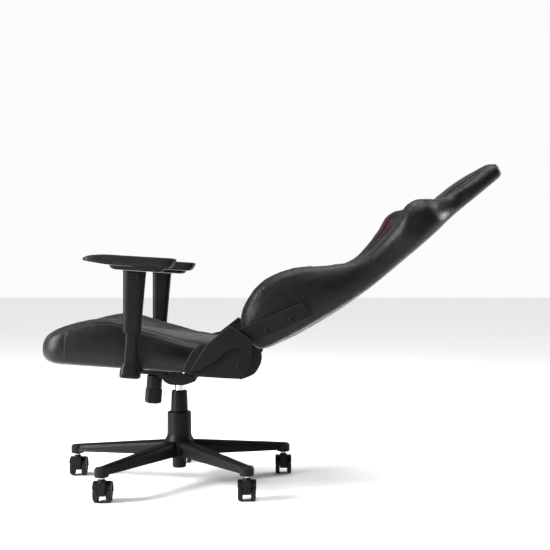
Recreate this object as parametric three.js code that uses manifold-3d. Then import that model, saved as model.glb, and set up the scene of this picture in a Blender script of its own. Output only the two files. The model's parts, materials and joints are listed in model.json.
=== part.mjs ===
// Gaming chair with a reclining back, height-adjustable armrests and a five-star caster base.
// Units are millimetres and Z is up. The chair faces -Y and its left side is +X. The gas lift stands
// on the line X = 0, Y = 0 of the chair, and the whole chair is moved along Y at the end so that the
// origin lies on the floor under the middle of its outline.
import * as THREE from 'three';
import { mergeVertices } from 'three/addons/utils/BufferGeometryUtils.js';
import Module from 'manifold-3d';

const wasm = await Module();
wasm.setup();

// ---------------------------------------------------------------- driving dimensions

const LIFT_AXIS_Y = -288; // from the origin to the gas lift, along Y
const SEAM_GAP = 0.3; // between pieces that touch
const RUN_GAP = 0.6; // between pieces that slide or turn on each other

// casters
const CASTER_CIRCLE = 335; // radius of the circle that the caster stems stand on
const CASTER_COUNT = 5;
const BASE_TURN = 2.8; // degrees that the base is turned on the lift at rest
const WHEEL_RADIUS = 27.5;
const WHEEL_WIDTH = 13.5;
const FORK_WIDTH = 22; // the part of the hood between the two wheels
const CASTER_TRAIL = 18; // from the stem back to the wheel axle
const AXLE_RADIUS = 4;
const STEM_RADIUS = 5.5;
const HOOD_WALL = 2.5;
const BOSS_HEIGHT = 8; // stem boss above the hood
const STEM_SHOW = 6; // stem between the boss and the leg
const CASTER_HEADING = [0, 0, 180, 0, 0]; // degrees that each caster is turned at rest

// star base
const LEG_END_HEIGHT = 26;
const LEG_END_RADIUS = 20;
const LEG_TIP_WIDTH = 34;
const LEG_ROOT_WIDTH = 48;
const LEG_WALL = 3.5;
const LEG_RIBS = 4;
const HUB_RADIUS = 43;

// gas lift
const COLUMN_RADIUS = 21.5;
const COLUMN_WALL = 3.5;
const PISTON_RADIUS = 14; // the chromed gas cylinder
const ROD_RADIUS = 4;
const LOWER_COVER_RADIUS = 36.5;
const LOWER_COVER_HEIGHT = 87;
const UPPER_COVER_HEIGHT = 63;
const COVER_WALL = 2;
const CHROME_SHOW = 21; // chrome between the column cover and the seat mechanism
const LIFT_DROP = 15; // travel left below the rest height
const VALVE_SHOW = 3; // valve pin above the gas cylinder, under the height lever

// tilt mechanism
const HOUSING_HALF_WIDTH = 55;
const HOUSING_WALL = 5;
const HOUSING_DEPTH = 54; // from the housing's bottom to the seat plane
const TILT_AXIS_Y = -36;
const TILT_AXIS_DROP = 24; // from the seat plane down to the tilt shaft
const TILT_SHAFT_RADIUS = 6;
const PLATE_THICKNESS = 5;
const KNOB_RADIUS = 25.5;
const KNOB_HEIGHT = 44;
const CUP_RADIUS = 23;
const CUP_HEIGHT = 46;
const KNOB_Y = -73;
const KNOB_LEAN = 4; // degrees
const SPRING_WIRE = 3.5;
const SPRING_TURNS = 5;
const LEVER_REACH = 292; // from the lift axis to the tip of the height lever
const LEVER_SLOPE = 4; // degrees downwards

// seat
const SEAT_HALF_WIDTH = 258;
const SEAT_FRONT = -362; // along the seat plane
const SEAT_REAR = 165;
const SEAT_PITCH = 3.8; // degrees, front up
const SEAT_CORNER = 62;
const PAN_THICKNESS = 10;
const PAN_INSET = 42;

// armrests
const ARM_OUT = 54; // from the seat's side to the middle of the arm post
const ARM_Y = -103;
const POST_DEPTH = 33.5;
const POST_WIDTH = 22;
const POST_CORNER = 9;
const FOOT_DEPTH = 56;
const FOOT_WIDTH = 44;
const FOOT_HEIGHT = 43;
const FOOT_DROP = 14; // below the seat plane
const SLEEVE_BOTTOM = 106;
const SLEEVE_TOP = 273;
const SLEEVE_WIDTH = 38;
const PAD_LENGTH = 252;
const PAD_FORWARD = 144; // from the arm post to the front tip of the pad
const PAD_WIDTH = 96;
const PAD_THICKNESS = 27;
const SLIDER_THICKNESS = 11;
const BUTTON_SIZE = 20;

// recliner and back
const HINGE_Y = 170;
const HINGE_RISE = 81; // above the seat plane's height at the lift
const RECLINE = 38; // degrees from level at rest
const PIN_RADIUS = 7;
const DISC_RADIUS = 28;
const BRACKET_THICKNESS = 6;
const BAR_THICKNESS = 8;
const BAR_LENGTH = 221;
const BAR_WIDTH = 48;
const COVER_DEPTH = 20; // how far the side cover stands out
const BACK_LENGTH = 907;
const BACK_START = 40; // from the hinge to the lower edge of the back
const BACK_HALF_WIDTH = 262;
const HEAD_HALF_WIDTH = 150;
const HEAD_START = 715;

// ---------------------------------------------------------------- heights worked out from those

const AXLE_Z = WHEEL_RADIUS;
const HOOD_RADIUS = WHEEL_RADIUS + 2 * RUN_GAP + HOOD_WALL;
const BOSS_TOP = AXLE_Z + HOOD_RADIUS + BOSS_HEIGHT;
const LEG_END_BOTTOM = BOSS_TOP + STEM_SHOW;
const LEG_END_TOP = LEG_END_BOTTOM + LEG_END_HEIGHT;
const HUB_BOTTOM = LEG_END_BOTTOM + 9;
const HUB_TOP = LEG_END_TOP + 28;
const COLUMN_BOTTOM = HUB_BOTTOM - 35;
const LOWER_COVER_TOP = HUB_TOP + LOWER_COVER_HEIGHT;
const UPPER_COVER_TOP = LOWER_COVER_TOP + UPPER_COVER_HEIGHT;
const HOUSING_BOTTOM = UPPER_COVER_TOP + CHROME_SHOW;
const SEAT_Z = HOUSING_BOTTOM + HOUSING_DEPTH;
const TILT_AXIS_Z = SEAT_Z - TILT_AXIS_DROP;
const HINGE_Z = SEAT_Z + HINGE_RISE;
const BRACKET_X = SEAT_HALF_WIDTH + 4;
const BAR_X = BRACKET_X + BRACKET_THICKNESS + 2 * RUN_GAP;
const COVER_X = BAR_X + BAR_THICKNESS + 4 * RUN_GAP;
const ARM_X = SEAT_HALF_WIDTH + ARM_OUT;

// ---------------------------------------------------------------- materials

const finish = (color, roughness, metalness) => new THREE.MeshStandardMaterial({ color, roughness, metalness });
const LEATHER = finish(0x232325, 0.55, 0);
const SATIN_PLASTIC = finish(0x1b1b1c, 0.45, 0);
const NYLON = finish(0x202021, 0.5, 0);
const TREAD = finish(0x161616, 0.7, 0);
const BLACK_STEEL = finish(0x1d1d1e, 0.4, 0.6);
const STEEL = finish(0x8f9194, 0.35, 1);
const CHROME = finish(0xd9dbde, 0.12, 1);
const SOFT_PAD = finish(0x1a1a1a, 0.65, 0);

// ---------------------------------------------------------------- shape helpers

const radians = THREE.MathUtils.degToRad;
const SIDE_BASIS = new THREE.Matrix4().makeBasis(
  new THREE.Vector3(0, 1, 0),
  new THREE.Vector3(0, 0, 1),
  new THREE.Vector3(1, 0, 0),
);
const MIRROR = new THREE.Matrix4().makeScale(-1, 1, 1);

function signedVolume(position, index) {
  const [a, b, c] = [new THREE.Vector3(), new THREE.Vector3(), new THREE.Vector3()];
  let total = 0;
  for (let i = 0; i < index.length; i += 3) {
    a.fromBufferAttribute(position, index[i]);
    b.fromBufferAttribute(position, index[i + 1]);
    c.fromBufferAttribute(position, index[i + 2]);
    total += a.dot(b.cross(c));
  }
  return total;
}

// A geometry whose triangles already share their vertices.
function shared(geometry) {
  geometry.userData.shared = true;
  return geometry;
}

// One closed surface: vertices shared, triangles without area left out, faces pointing out.
function closed(geometry) {
  const bare = geometry.clone();
  bare.deleteAttribute('normal');
  bare.deleteAttribute('uv');
  const merged = geometry.userData.shared ? bare : mergeVertices(bare, 1e-4);
  const kept = [];
  const source = merged.index.array;
  for (let i = 0; i < source.length; i += 3) {
    const [a, b, c] = [source[i], source[i + 1], source[i + 2]];
    if (a !== b && b !== c && c !== a) kept.push(a, b, c);
  }
  if (signedVolume(merged.attributes.position, kept) < 0) kept.reverse();
  merged.setIndex(kept);
  return merged;
}

function solid(geometry) {
  const shell = closed(geometry);
  return new wasm.Manifold(
    new wasm.Mesh({
      numProp: 3,
      vertProperties: new Float32Array(shell.attributes.position.array),
      triVerts: new Uint32Array(shell.index.array),
    }),
  );
}

function fromSolid(manifold) {
  const mesh = manifold.getMesh();
  const geometry = new THREE.BufferGeometry();
  geometry.setAttribute('position', new THREE.BufferAttribute(new Float32Array(mesh.vertProperties), 3));
  geometry.setIndex(new THREE.BufferAttribute(new Uint32Array(mesh.triVerts), 1));
  return shared(geometry);
}

function join(...geometries) {
  return fromSolid(geometries.map(solid).reduce((whole, piece) => whole.add(piece)));
}

function cut(geometry, ...tools) {
  return fromSolid(tools.map(solid).reduce((whole, piece) => whole.subtract(piece), solid(geometry)));
}

function keepInside(geometry, limit) {
  return fromSolid(solid(geometry).intersect(solid(limit)));
}

function block(x0, x1, y0, y1, z0, z1) {
  const geometry = new THREE.BoxGeometry(x1 - x0, y1 - y0, z1 - z0);
  return geometry.translate((x0 + x1) / 2, (y0 + y1) / 2, (z0 + z1) / 2);
}

// A solid of revolution about the Z axis; the profile lists [radius, height] points.
function turned(profile, segments = 32) {
  const points = profile.map(([radius, height]) => new THREE.Vector2(radius, height));
  return new THREE.LatheGeometry(points, segments).rotateX(Math.PI / 2);
}

const ring = (inner, outer, z0, z1, segments) =>
  turned([[inner, z0], [outer, z0], [outer, z1], [inner, z1], [inner, z0]], segments);

const disc = (radius, z0, z1, segments) => turned([[0, z0], [radius, z0], [radius, z1], [0, z1]], segments);

// A round bar that lies along X between x0 and x1, at the given y and z.
function crossBar(radius, x0, x1, y, z, segments = 24) {
  return disc(radius, x0, x1, segments).rotateY(Math.PI / 2).translate(0, y, z);
}

function roundedShape(corners, radius) {
  if (radius === 0) return new THREE.Shape(corners.map(([x, y]) => new THREE.Vector2(x, y)));
  const shape = new THREE.Shape();
  corners.forEach(([x, y], i) => {
    const here = new THREE.Vector2(x, y);
    const before = new THREE.Vector2(...corners.at(i - 1)).sub(here);
    const after = new THREE.Vector2(...corners[(i + 1) % corners.length]).sub(here);
    const reach = Math.min(radius, before.length() / 2.2, after.length() / 2.2);
    const start = before.setLength(reach).add(here);
    const end = after.setLength(reach).add(here);
    if (i === 0) shape.moveTo(start.x, start.y);
    else shape.lineTo(start.x, start.y);
    shape.quadraticCurveTo(here.x, here.y, end.x, end.y);
  });
  shape.closePath();
  return shape;
}

// An outline of [y, z] corners drawn in the side view and given a thickness from x0 to x1.
function sidePlate(corners, radius, x0, x1, bevel = 0, arc = 3) {
  const geometry = new THREE.ExtrudeGeometry(roundedShape(corners, radius), {
    depth: x1 - x0 - 2 * bevel,
    curveSegments: arc,
    bevelEnabled: bevel > 0,
    bevelThickness: bevel,
    bevelSize: bevel,
    bevelOffset: -bevel,
    bevelSegments: 1,
  });
  return geometry.translate(0, 0, x0 + bevel).applyMatrix4(SIDE_BASIS);
}

function rectangle(width, depth) {
  return [[-width / 2, -depth / 2], [width / 2, -depth / 2], [width / 2, depth / 2], [-width / 2, depth / 2]];
}

// A closed skin over rings of equally many points, one ring after another.
function loft(rings) {
  const count = rings[0].length;
  const points = rings.flat();
  const index = [];
  for (let r = 0; r + 1 < rings.length; r += 1) {
    for (let i = 0; i < count; i += 1) {
      const next = (i + 1) % count;
      const [a, b, c, d] = [r * count + i, r * count + next, (r + 1) * count + i, (r + 1) * count + next];
      index.push(a, b, d, a, d, c);
    }
  }
  const ends = [rings[0], rings.at(-1)].map((end, k) => {
    const middle = end.reduce((sum, point) => sum.add(point), new THREE.Vector3()).divideScalar(count);
    points.push(middle);
    return [k === 0 ? 0 : (rings.length - 1) * count, points.length - 1, k === 0];
  });
  for (const [first, middle, low] of ends) {
    for (let i = 0; i < count; i += 1) {
      const [a, b] = [first + i, first + ((i + 1) % count)];
      if (low) index.push(middle, b, a);
      else index.push(middle, a, b);
    }
  }
  const geometry = new THREE.BufferGeometry().setFromPoints(points);
  geometry.setIndex(index);
  return shared(geometry);
}

// A smooth function through [station, value] points, level beyond the first and the last.
function through(points) {
  const slope = (i) => {
    const low = points[Math.max(i - 1, 0)];
    const high = points[Math.min(i + 1, points.length - 1)];
    return (high[1] - low[1]) / (high[0] - low[0]);
  };
  return (t) => {
    if (t <= points[0][0]) return points[0][1];
    if (t >= points.at(-1)[0]) return points.at(-1)[1];
    const i = points.findIndex((point) => point[0] > t) - 1;
    const [[t0, v0], [t1, v1]] = [points[i], points[i + 1]];
    const span = t1 - t0;
    const u = (t - t0) / span;
    const rise = (v1 - v0) * u * u * (3 - 2 * u);
    const bend = u * (1 - u) * ((1 - u) * slope(i) - u * slope(i + 1)) * span;
    return v0 + rise + bend;
  };
}

// 0 at the end of a nose of the given length, 1 from there on, round like a quarter circle.
const roundEnd = (distance, nose) => Math.sqrt(Math.max(0, 1 - Math.max(0, 1 - distance / nose) ** 2));

const stations = (first, last, count) =>
  Array.from({ length: count + 1 }, (_, i) => first + ((last - first) * i) / count);

const chair = new THREE.Group();

function addPiece(parent, name, geometry, material) {
  const mesh = new THREE.Mesh(closed(geometry), material);
  mesh.name = name;
  parent.add(mesh);
  return mesh;
}

const SIDES = [
  { word: 'left', sign: 1 },
  { word: 'right', sign: -1 },
];

const onSide = (geometry, sign) => (sign > 0 ? geometry : geometry.clone().applyMatrix4(MIRROR));

// ---------------------------------------------------------------- star base and casters

function casterPlace(i) {
  const angle = radians(BASE_TURN + 36 + (360 / CASTER_COUNT) * i);
  return { angle, x: CASTER_CIRCLE * Math.cos(angle), y: CASTER_CIRCLE * Math.sin(angle) };
}

// One leg along +X: a rounded trapezoid from the hub to the leg end, or its hollow underside.
function legBody(shrink) {
  const rootX = shrink > 0 ? HUB_RADIUS + 2 : 0;
  const tipX = CASTER_CIRCLE - (shrink > 0 ? LEG_END_RADIUS + 2 : 0);
  const section = (x) => {
    const t = x / CASTER_CIRCLE;
    const half = THREE.MathUtils.lerp(LEG_ROOT_WIDTH, LEG_TIP_WIDTH, t) / 2 - shrink;
    const top = THREE.MathUtils.lerp(HUB_TOP + 4, LEG_END_TOP + 2, t) - shrink;
    const bottom = THREE.MathUtils.lerp(HUB_BOTTOM + 4, LEG_END_BOTTOM + 6, t) - (shrink > 0 ? 20 : 0);
    const side = [[half, bottom], [half - 2, top - 14], [half - 5, top - 5], [half - 11, top]];
    return side.concat(side.map(([y, z]) => [-y, z]).reverse()).map(([y, z]) => new THREE.Vector3(x, y, z));
  };
  return loft([section(rootX), section(tipX)]);
}

function starBase() {
  const pieces = [turned([
    [0, HUB_BOTTOM], [HUB_RADIUS - 3, HUB_BOTTOM], [HUB_RADIUS, HUB_BOTTOM + 3],
    [HUB_RADIUS, HUB_TOP - 2], [HUB_RADIUS - 2, HUB_TOP], [0, HUB_TOP],
  ], 32)];
  const hollows = [];
  for (let i = 0; i < CASTER_COUNT; i += 1) {
    const { angle, x, y } = casterPlace(i);
    pieces.push(legBody(0).rotateZ(angle));
    pieces.push(turned([
      [0, LEG_END_BOTTOM], [LEG_END_RADIUS - 2, LEG_END_BOTTOM], [LEG_END_RADIUS, LEG_END_BOTTOM + 2],
      [LEG_END_RADIUS, LEG_END_TOP - 5], [LEG_END_RADIUS - 4, LEG_END_TOP], [0, LEG_END_TOP + 1],
    ], 18).translate(x, y, 0));
    const ribs = stations(HUB_RADIUS + 50, CASTER_CIRCLE - LEG_END_RADIUS - 40, LEG_RIBS - 1).map((r) =>
      block(r - 1.3, r + 1.3, -LEG_ROOT_WIDTH, LEG_ROOT_WIDTH, LEG_END_BOTTOM + 8, LEG_END_TOP + 40));
    hollows.push(cut(legBody(LEG_WALL), ...ribs).rotateZ(angle));
    hollows.push(disc(STEM_RADIUS + SEAM_GAP, LEG_END_BOTTOM - 10, LEG_END_TOP - 5, 12).translate(x, y, 0));
  }
  hollows.push(disc(COLUMN_RADIUS + SEAM_GAP, HUB_BOTTOM - 10, HUB_TOP + 20, 32));
  const coverSeat = disc(HUB_RADIUS + 3, HUB_TOP, HUB_TOP + 30, 32);
  return cut(join(...pieces), ...hollows, coverSeat);
}

function casterHood() {
  const half = FORK_WIDTH / 2 + RUN_GAP + WHEEL_WIDTH;
  const wheelRoom = WHEEL_RADIUS + 2 * RUN_GAP;
  const fender = new THREE.Shape();
  const [from, to] = [radians(28), radians(188)];
  fender.absarc(0, 0, HOOD_RADIUS, from, to, false);
  fender.absarc(0, 0, wheelRoom, to, from, true);
  fender.closePath();
  const shell = new THREE.ExtrudeGeometry(fender, { depth: 2 * half, curveSegments: 7, bevelEnabled: false });
  shell.translate(0, 0, -half).rotateX(Math.PI / 2).translate(-CASTER_TRAIL, 0, AXLE_Z);
  const web = disc(HOOD_RADIUS - 1, -FORK_WIDTH / 2, FORK_WIDTH / 2, 16).rotateX(Math.PI / 2);
  web.translate(-CASTER_TRAIL, 0, AXLE_Z);
  const webLimit = block(-CASTER_TRAIL - HOOD_RADIUS, CASTER_TRAIL, -half, half, AXLE_Z - 6, BOSS_TOP);
  const cheek = block(-CASTER_TRAIL, STEM_RADIUS + 6, -FORK_WIDTH / 2, FORK_WIDTH / 2, AXLE_Z - 3, BOSS_TOP - 7);
  const boss = turned([
    [0, AXLE_Z], [STEM_RADIUS + 6, AXLE_Z], [STEM_RADIUS + 6, BOSS_TOP - 3], [STEM_RADIUS + 4, BOSS_TOP],
    [0, BOSS_TOP],
  ], 16);
  const axle = disc(AXLE_RADIUS, -half + 2, half - 2, 12).rotateX(Math.PI / 2).translate(-CASTER_TRAIL, 0, AXLE_Z);
  const hood = join(shell, keepInside(web, webLimit), cheek, boss, axle);
  return cut(hood, disc(STEM_RADIUS + RUN_GAP, AXLE_Z + 6, BOSS_TOP + 10, 12));
}

// A wheel about the Z axis with its hub side at 0, to be turned onto its axle.
function casterWheel() {
  const bore = AXLE_RADIUS + RUN_GAP;
  const [rim, wide] = [WHEEL_RADIUS, WHEEL_WIDTH];
  return turned([
    [bore, 0], [rim - 2, 0], [rim, 2], [rim, wide - 3], [rim - 2.5, wide - 0.6], [rim - 6, wide - 0.6],
    [rim - 8, wide - 2.6], [bore, wide - 2.6], [bore, 0],
  ], 24);
}

function addCasters(parent) {
  for (let i = 0; i < CASTER_COUNT; i += 1) {
    const { x, y } = casterPlace(i);
    const place = new THREE.Group();
    place.position.set(x, y, 0);
    place.rotation.z = radians(CASTER_HEADING[i]);
    parent.add(place);
    const stem = turned([
      [0, AXLE_Z + 8], [STEM_RADIUS, AXLE_Z + 8], [STEM_RADIUS, BOSS_TOP + 1], [STEM_RADIUS + 2.5, BOSS_TOP + 1.5],
      [STEM_RADIUS + 2.5, BOSS_TOP + 4], [STEM_RADIUS, BOSS_TOP + 4.5], [STEM_RADIUS, LEG_END_TOP - 8],
      [STEM_RADIUS - 1, LEG_END_TOP - 6], [0, LEG_END_TOP - 6],
    ], 12);
    addPiece(place, `caster_${i + 1}_stem`, stem, STEEL);
    addPiece(place, `caster_${i + 1}_hood`, casterHood(), NYLON);
    for (const { word, sign } of SIDES) {
      const wheel = casterWheel().rotateX((-sign * Math.PI) / 2);
      wheel.translate(-CASTER_TRAIL, sign * (FORK_WIDTH / 2 + RUN_GAP), AXLE_Z);
      addPiece(place, `caster_${i + 1}_wheel_${word}`, wheel, TREAD);
    }
  }
}

// ---------------------------------------------------------------- gas lift

function addLift(parent) {
  const inner = COLUMN_RADIUS - COLUMN_WALL;
  const floor = COLUMN_BOTTOM + 3;
  const tubeTop = UPPER_COVER_TOP - COVER_WALL - 2 * SEAM_GAP;
  addPiece(parent, 'column_tube', turned([
    [ROD_RADIUS + 2, COLUMN_BOTTOM], [COLUMN_RADIUS - 2, COLUMN_BOTTOM], [COLUMN_RADIUS - 1, COLUMN_BOTTOM + 2],
    [COLUMN_RADIUS, HUB_BOTTOM], [COLUMN_RADIUS, tubeTop], [inner, tubeTop], [inner, floor],
    [ROD_RADIUS + 2, floor], [ROD_RADIUS + 2, COLUMN_BOTTOM],
  ], 32), BLACK_STEEL);
  const bushInner = PISTON_RADIUS + RUN_GAP / 2;
  addPiece(parent, 'guide_bush', ring(bushInner, inner - SEAM_GAP, tubeTop - 75, tubeTop - 1, 32), NYLON);
  const low = LOWER_COVER_RADIUS;
  addPiece(parent, 'lower_column_cover', turned([
    [low + 2 - COVER_WALL, HUB_TOP + SEAM_GAP], [low + 7, HUB_TOP + SEAM_GAP], [low + 6, HUB_TOP + 5],
    [low + 1, HUB_TOP + 14], [low, HUB_TOP + 24], [low - 0.5, LOWER_COVER_TOP - 4], [low - 3, LOWER_COVER_TOP],
    [COLUMN_RADIUS + SEAM_GAP, LOWER_COVER_TOP], [COLUMN_RADIUS + SEAM_GAP, LOWER_COVER_TOP - 3],
    [low - COVER_WALL - 2, LOWER_COVER_TOP - 4], [low + 2 - COVER_WALL, HUB_TOP + SEAM_GAP],
  ], 32), SATIN_PLASTIC);
  const fit = COLUMN_RADIUS + SEAM_GAP;
  addPiece(parent, 'upper_column_cover', turned([
    [fit, LOWER_COVER_TOP + SEAM_GAP], [fit + 4.5, LOWER_COVER_TOP + SEAM_GAP], [fit + 4, LOWER_COVER_TOP + 8],
    [fit + COVER_WALL, UPPER_COVER_TOP - 8], [fit + 1, UPPER_COVER_TOP - 1], [fit - 1, UPPER_COVER_TOP],
    [PISTON_RADIUS + RUN_GAP, UPPER_COVER_TOP], [PISTON_RADIUS + RUN_GAP, UPPER_COVER_TOP - COVER_WALL],
    [fit, UPPER_COVER_TOP - COVER_WALL], [fit, LOWER_COVER_TOP + SEAM_GAP],
  ], 32), SATIN_PLASTIC);
  addPiece(parent, 'thrust_bearing', ring(ROD_RADIUS + RUN_GAP, inner - 3, floor + SEAM_GAP, floor + 6, 28), STEEL);
  const collar = floor + 6 + SEAM_GAP;
  const head = tubeTop - 80;
  const bore = PISTON_RADIUS - 2.5;
  addPiece(parent, 'piston_rod', turned([
    [0, COLUMN_BOTTOM + 1], [ROD_RADIUS, COLUMN_BOTTOM + 1], [ROD_RADIUS, collar], [ROD_RADIUS + 5, collar],
    [ROD_RADIUS + 5, collar + 2.5], [ROD_RADIUS, collar + 2.5], [ROD_RADIUS, head], [bore - RUN_GAP, head],
    [bore - RUN_GAP, head + 10], [0, head + 10],
  ], 20), STEEL);
  const foot = collar + 2.5 + LIFT_DROP + 2;
  const top = SEAT_Z - 36;
  addPiece(parent, 'gas_cylinder', turned([
    [ROD_RADIUS + RUN_GAP, foot], [PISTON_RADIUS, foot], [PISTON_RADIUS, top], [4, top], [4, top + VALVE_SHOW],
    [0, top + VALVE_SHOW], [0, top - 8], [bore, top - 8], [bore, foot + 4], [ROD_RADIUS + RUN_GAP, foot + 4],
    [ROD_RADIUS + RUN_GAP, foot],
  ], 32), CHROME);
}

// ---------------------------------------------------------------- tilt mechanism

function tiltHousing() {
  const [bottom, rear] = [HOUSING_BOTTOM, 54];
  const outer = sidePlate([
    [KNOB_Y - CUP_RADIUS - 16, SEAT_Z - 21], [-52, SEAT_Z - 25], [-40, bottom + 9], [-22, bottom],
    [24, bottom], [rear, bottom + 11], [rear, SEAT_Z - 31], [2, SEAT_Z - 17],
    [-30, SEAT_Z - 11], [KNOB_Y - CUP_RADIUS - 16, SEAT_Z - 11],
  ], 6, -HOUSING_HALF_WIDTH, HOUSING_HALF_WIDTH, 2);
  const room = HOUSING_HALF_WIDTH - HOUSING_WALL;
  const hollow = sidePlate([
    [KNOB_Y - CUP_RADIUS - 10, SEAT_Z - 15], [-48, SEAT_Z - 19], [-34, bottom + 15], [-20, bottom + 6],
    [22, bottom + 6], [rear - 6, bottom + 17], [rear - 6, SEAT_Z + 10],
    [KNOB_Y - CUP_RADIUS - 10, SEAT_Z + 10],
  ], 5, -room, room);
  const socket = disc(PISTON_RADIUS + 6, bottom - (CHROME_SHOW - LIFT_DROP - 1), SEAT_Z - 38, 32);
  const pivotBoss = crossBar(TILT_SHAFT_RADIUS + 5, -HOUSING_HALF_WIDTH, HOUSING_HALF_WIDTH, TILT_AXIS_Y, TILT_AXIS_Z);
  const leverSlot = block(-HOUSING_HALF_WIDTH - 5, -room + 5, -10, 10, SEAT_Z - 32, SEAT_Z);
  const springHole = disc(TILT_SHAFT_RADIUS, SEAT_Z - 60, SEAT_Z, 20).translate(0, KNOB_Y, 0);
  return cut(
    join(cut(outer, hollow), socket, pivotBoss),
    disc(PISTON_RADIUS + SEAM_GAP, bottom - 20, SEAT_Z, 32),
    crossBar(TILT_SHAFT_RADIUS + RUN_GAP, -100, 100, TILT_AXIS_Y, TILT_AXIS_Z),
    leverSlot,
    springHole,
  );
}

function tensionSpring() {
  const radius = CUP_RADIUS - 8;
  const height = CUP_HEIGHT - 14;
  const path = new THREE.CatmullRomCurve3(stations(0, SPRING_TURNS, SPRING_TURNS * 8).map((turn) =>
    new THREE.Vector3(
      radius * Math.cos(turn * 2 * Math.PI),
      radius * Math.sin(turn * 2 * Math.PI),
      -7 - (height * turn) / SPRING_TURNS,
    )));
  const wire = new THREE.Shape(new THREE.Path().absarc(0, 0, SPRING_WIRE / 2, 0, 2 * Math.PI).getPoints(3));
  return new THREE.ExtrudeGeometry(wire, { steps: SPRING_TURNS * 10, extrudePath: path, bevelEnabled: false });
}

function liftLever() {
  const thick = 2.5;
  const inner = block(-HOUSING_HALF_WIDTH - 10, 5, -6, 6, -thick, thick);
  const run = LEVER_REACH - HOUSING_HALF_WIDTH - 4;
  const arm = block(-run, 0, -6, 6, -thick, thick);
  const paddle = block(-run - 1, -run + 58, -14, 14, -thick - 3, thick + 3);
  const outer = join(arm, paddle).rotateY(radians(-LEVER_SLOPE)).translate(-HOUSING_HALF_WIDTH - 4, 0, 0);
  return join(inner, outer).translate(0, 0, SEAT_Z - 24.5);
}

function addMechanism(parent, seat) {
  addPiece(parent, 'tilt_housing', tiltHousing(), BLACK_STEEL);
  const half = HOUSING_HALF_WIDTH + 15;
  const shaft = crossBar(TILT_SHAFT_RADIUS, -half - 3, half + 3, TILT_AXIS_Y, TILT_AXIS_Z);
  addPiece(parent, 'tilt_shaft', shaft, BLACK_STEEL);
  addPiece(parent, 'lift_lever', liftLever(), SATIN_PLASTIC);

  const knob = new THREE.Group();
  knob.position.set(0, KNOB_Y, SEAT_Z - 24);
  knob.rotation.x = radians(-KNOB_LEAN);
  parent.add(knob);
  const cupWall = 3;
  addPiece(knob, 'spring_cup', turned([
    [TILT_SHAFT_RADIUS, -5], [CUP_RADIUS - 3, -5], [CUP_RADIUS, -8], [CUP_RADIUS, -CUP_HEIGHT],
    [CUP_RADIUS - cupWall, -CUP_HEIGHT], [CUP_RADIUS - cupWall, -8], [TILT_SHAFT_RADIUS, -8],
    [TILT_SHAFT_RADIUS, -5],
  ], 32), SATIN_PLASTIC);
  addPiece(knob, 'tension_spring', tensionSpring().translate(0, 0, -3), STEEL);
  const grip = turned([
    [0, -CUP_HEIGHT - RUN_GAP], [KNOB_RADIUS, -CUP_HEIGHT - RUN_GAP],
    [KNOB_RADIUS, -CUP_HEIGHT - KNOB_HEIGHT + 4], [KNOB_RADIUS - 4, -CUP_HEIGHT - KNOB_HEIGHT],
    [0, -CUP_HEIGHT - KNOB_HEIGHT],
  ], 6);
  const screw = disc(TILT_SHAFT_RADIUS - 1.5, -CUP_HEIGHT - 2, -1, 16);
  addPiece(knob, 'tension_knob', join(grip, screw), SATIN_PLASTIC);

  // The plate lies in the seat's plane and its two cheeks hang from it to the tilt shaft.
  const drop = TILT_AXIS_DROP + 12;
  const cheekX = HOUSING_HALF_WIDTH + 4;
  const axis = tiltAxisInSeat();
  const plate = block(-95, 95, -128, 92, -PLATE_THICKNESS - 0.5, -0.5);
  const cheeks = SIDES.map(({ sign }) => onSide(block(cheekX, cheekX + 5, axis.y - 20, axis.y + 20, -drop, -2), sign));
  const bore = crossBar(TILT_SHAFT_RADIUS + RUN_GAP, -100, 100, axis.y, axis.z);
  addPiece(seat, 'seat_plate', cut(join(plate, ...cheeks), bore), BLACK_STEEL);
}

// The tilt axis as it lies in the pitched seat group.
function tiltAxisInSeat() {
  return new THREE.Vector3(0, TILT_AXIS_Y, -TILT_AXIS_DROP)
    .applyAxisAngle(new THREE.Vector3(1, 0, 0), radians(SEAT_PITCH));
}

// ---------------------------------------------------------------- seat

const SEAT_CREST = through([
  [SEAT_FRONT, 84], [-345, 88], [-306, 106], [-258, 123], [-190, 137], [-85, 118], [-24, 106], [32, 93],
  [81, 87], [SEAT_REAR, 82],
]);
const SEAT_PANEL = through([[SEAT_FRONT, 76], [-306, 92], [-200, 98], [-60, 90], [80, 82], [SEAT_REAR, 80]]);
const SEAT_UNDERSIDE = 2.4;

function seatRing(y) {
  const nose = roundEnd(y - SEAT_FRONT, 48);
  const tail = roundEnd(SEAT_REAR - y, 22);
  const corner = SEAT_CORNER * (1 - roundEnd(y - SEAT_FRONT, SEAT_CORNER));
  const half = SEAT_HALF_WIDTH - corner - 12 * (1 - tail);
  const [low, crest, panel] = [SEAT_UNDERSIDE, SEAT_CREST(y), SEAT_PANEL(y)];
  const middle = low + 0.48 * (panel - low);
  const pull = Math.max(0.12, Math.min(nose, tail));
  const flank = [
    [0, low], [half - 34, low], [half - 10, low + 7], [half - 1, low + 24], [half, low + 0.45 * (crest - low)],
    [half - 5, low + 0.78 * (crest - low)], [half - 20, crest - 5], [half - 42, crest], [half - 68, crest - 10],
    [half - 94, panel + 3], [0, panel + 4],
  ].map(([x, z]) => [x, middle + (z - middle) * pull]);
  const mirrored = flank.slice(1, -1).reverse().map(([x, z]) => [-x, z]);
  return flank.concat(mirrored).map(([x, z]) => new THREE.Vector3(x, y, z));
}

function panBlock(grow) {
  const half = SEAT_HALF_WIDTH - PAN_INSET + grow;
  const [front, rear] = [SEAT_FRONT + PAN_INSET - grow, SEAT_REAR - 24 + grow];
  return block(-half, half, front, rear, SEAT_UNDERSIDE + 0.3 - 10 * grow, SEAT_UNDERSIDE + PAN_THICKNESS + grow);
}

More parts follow.
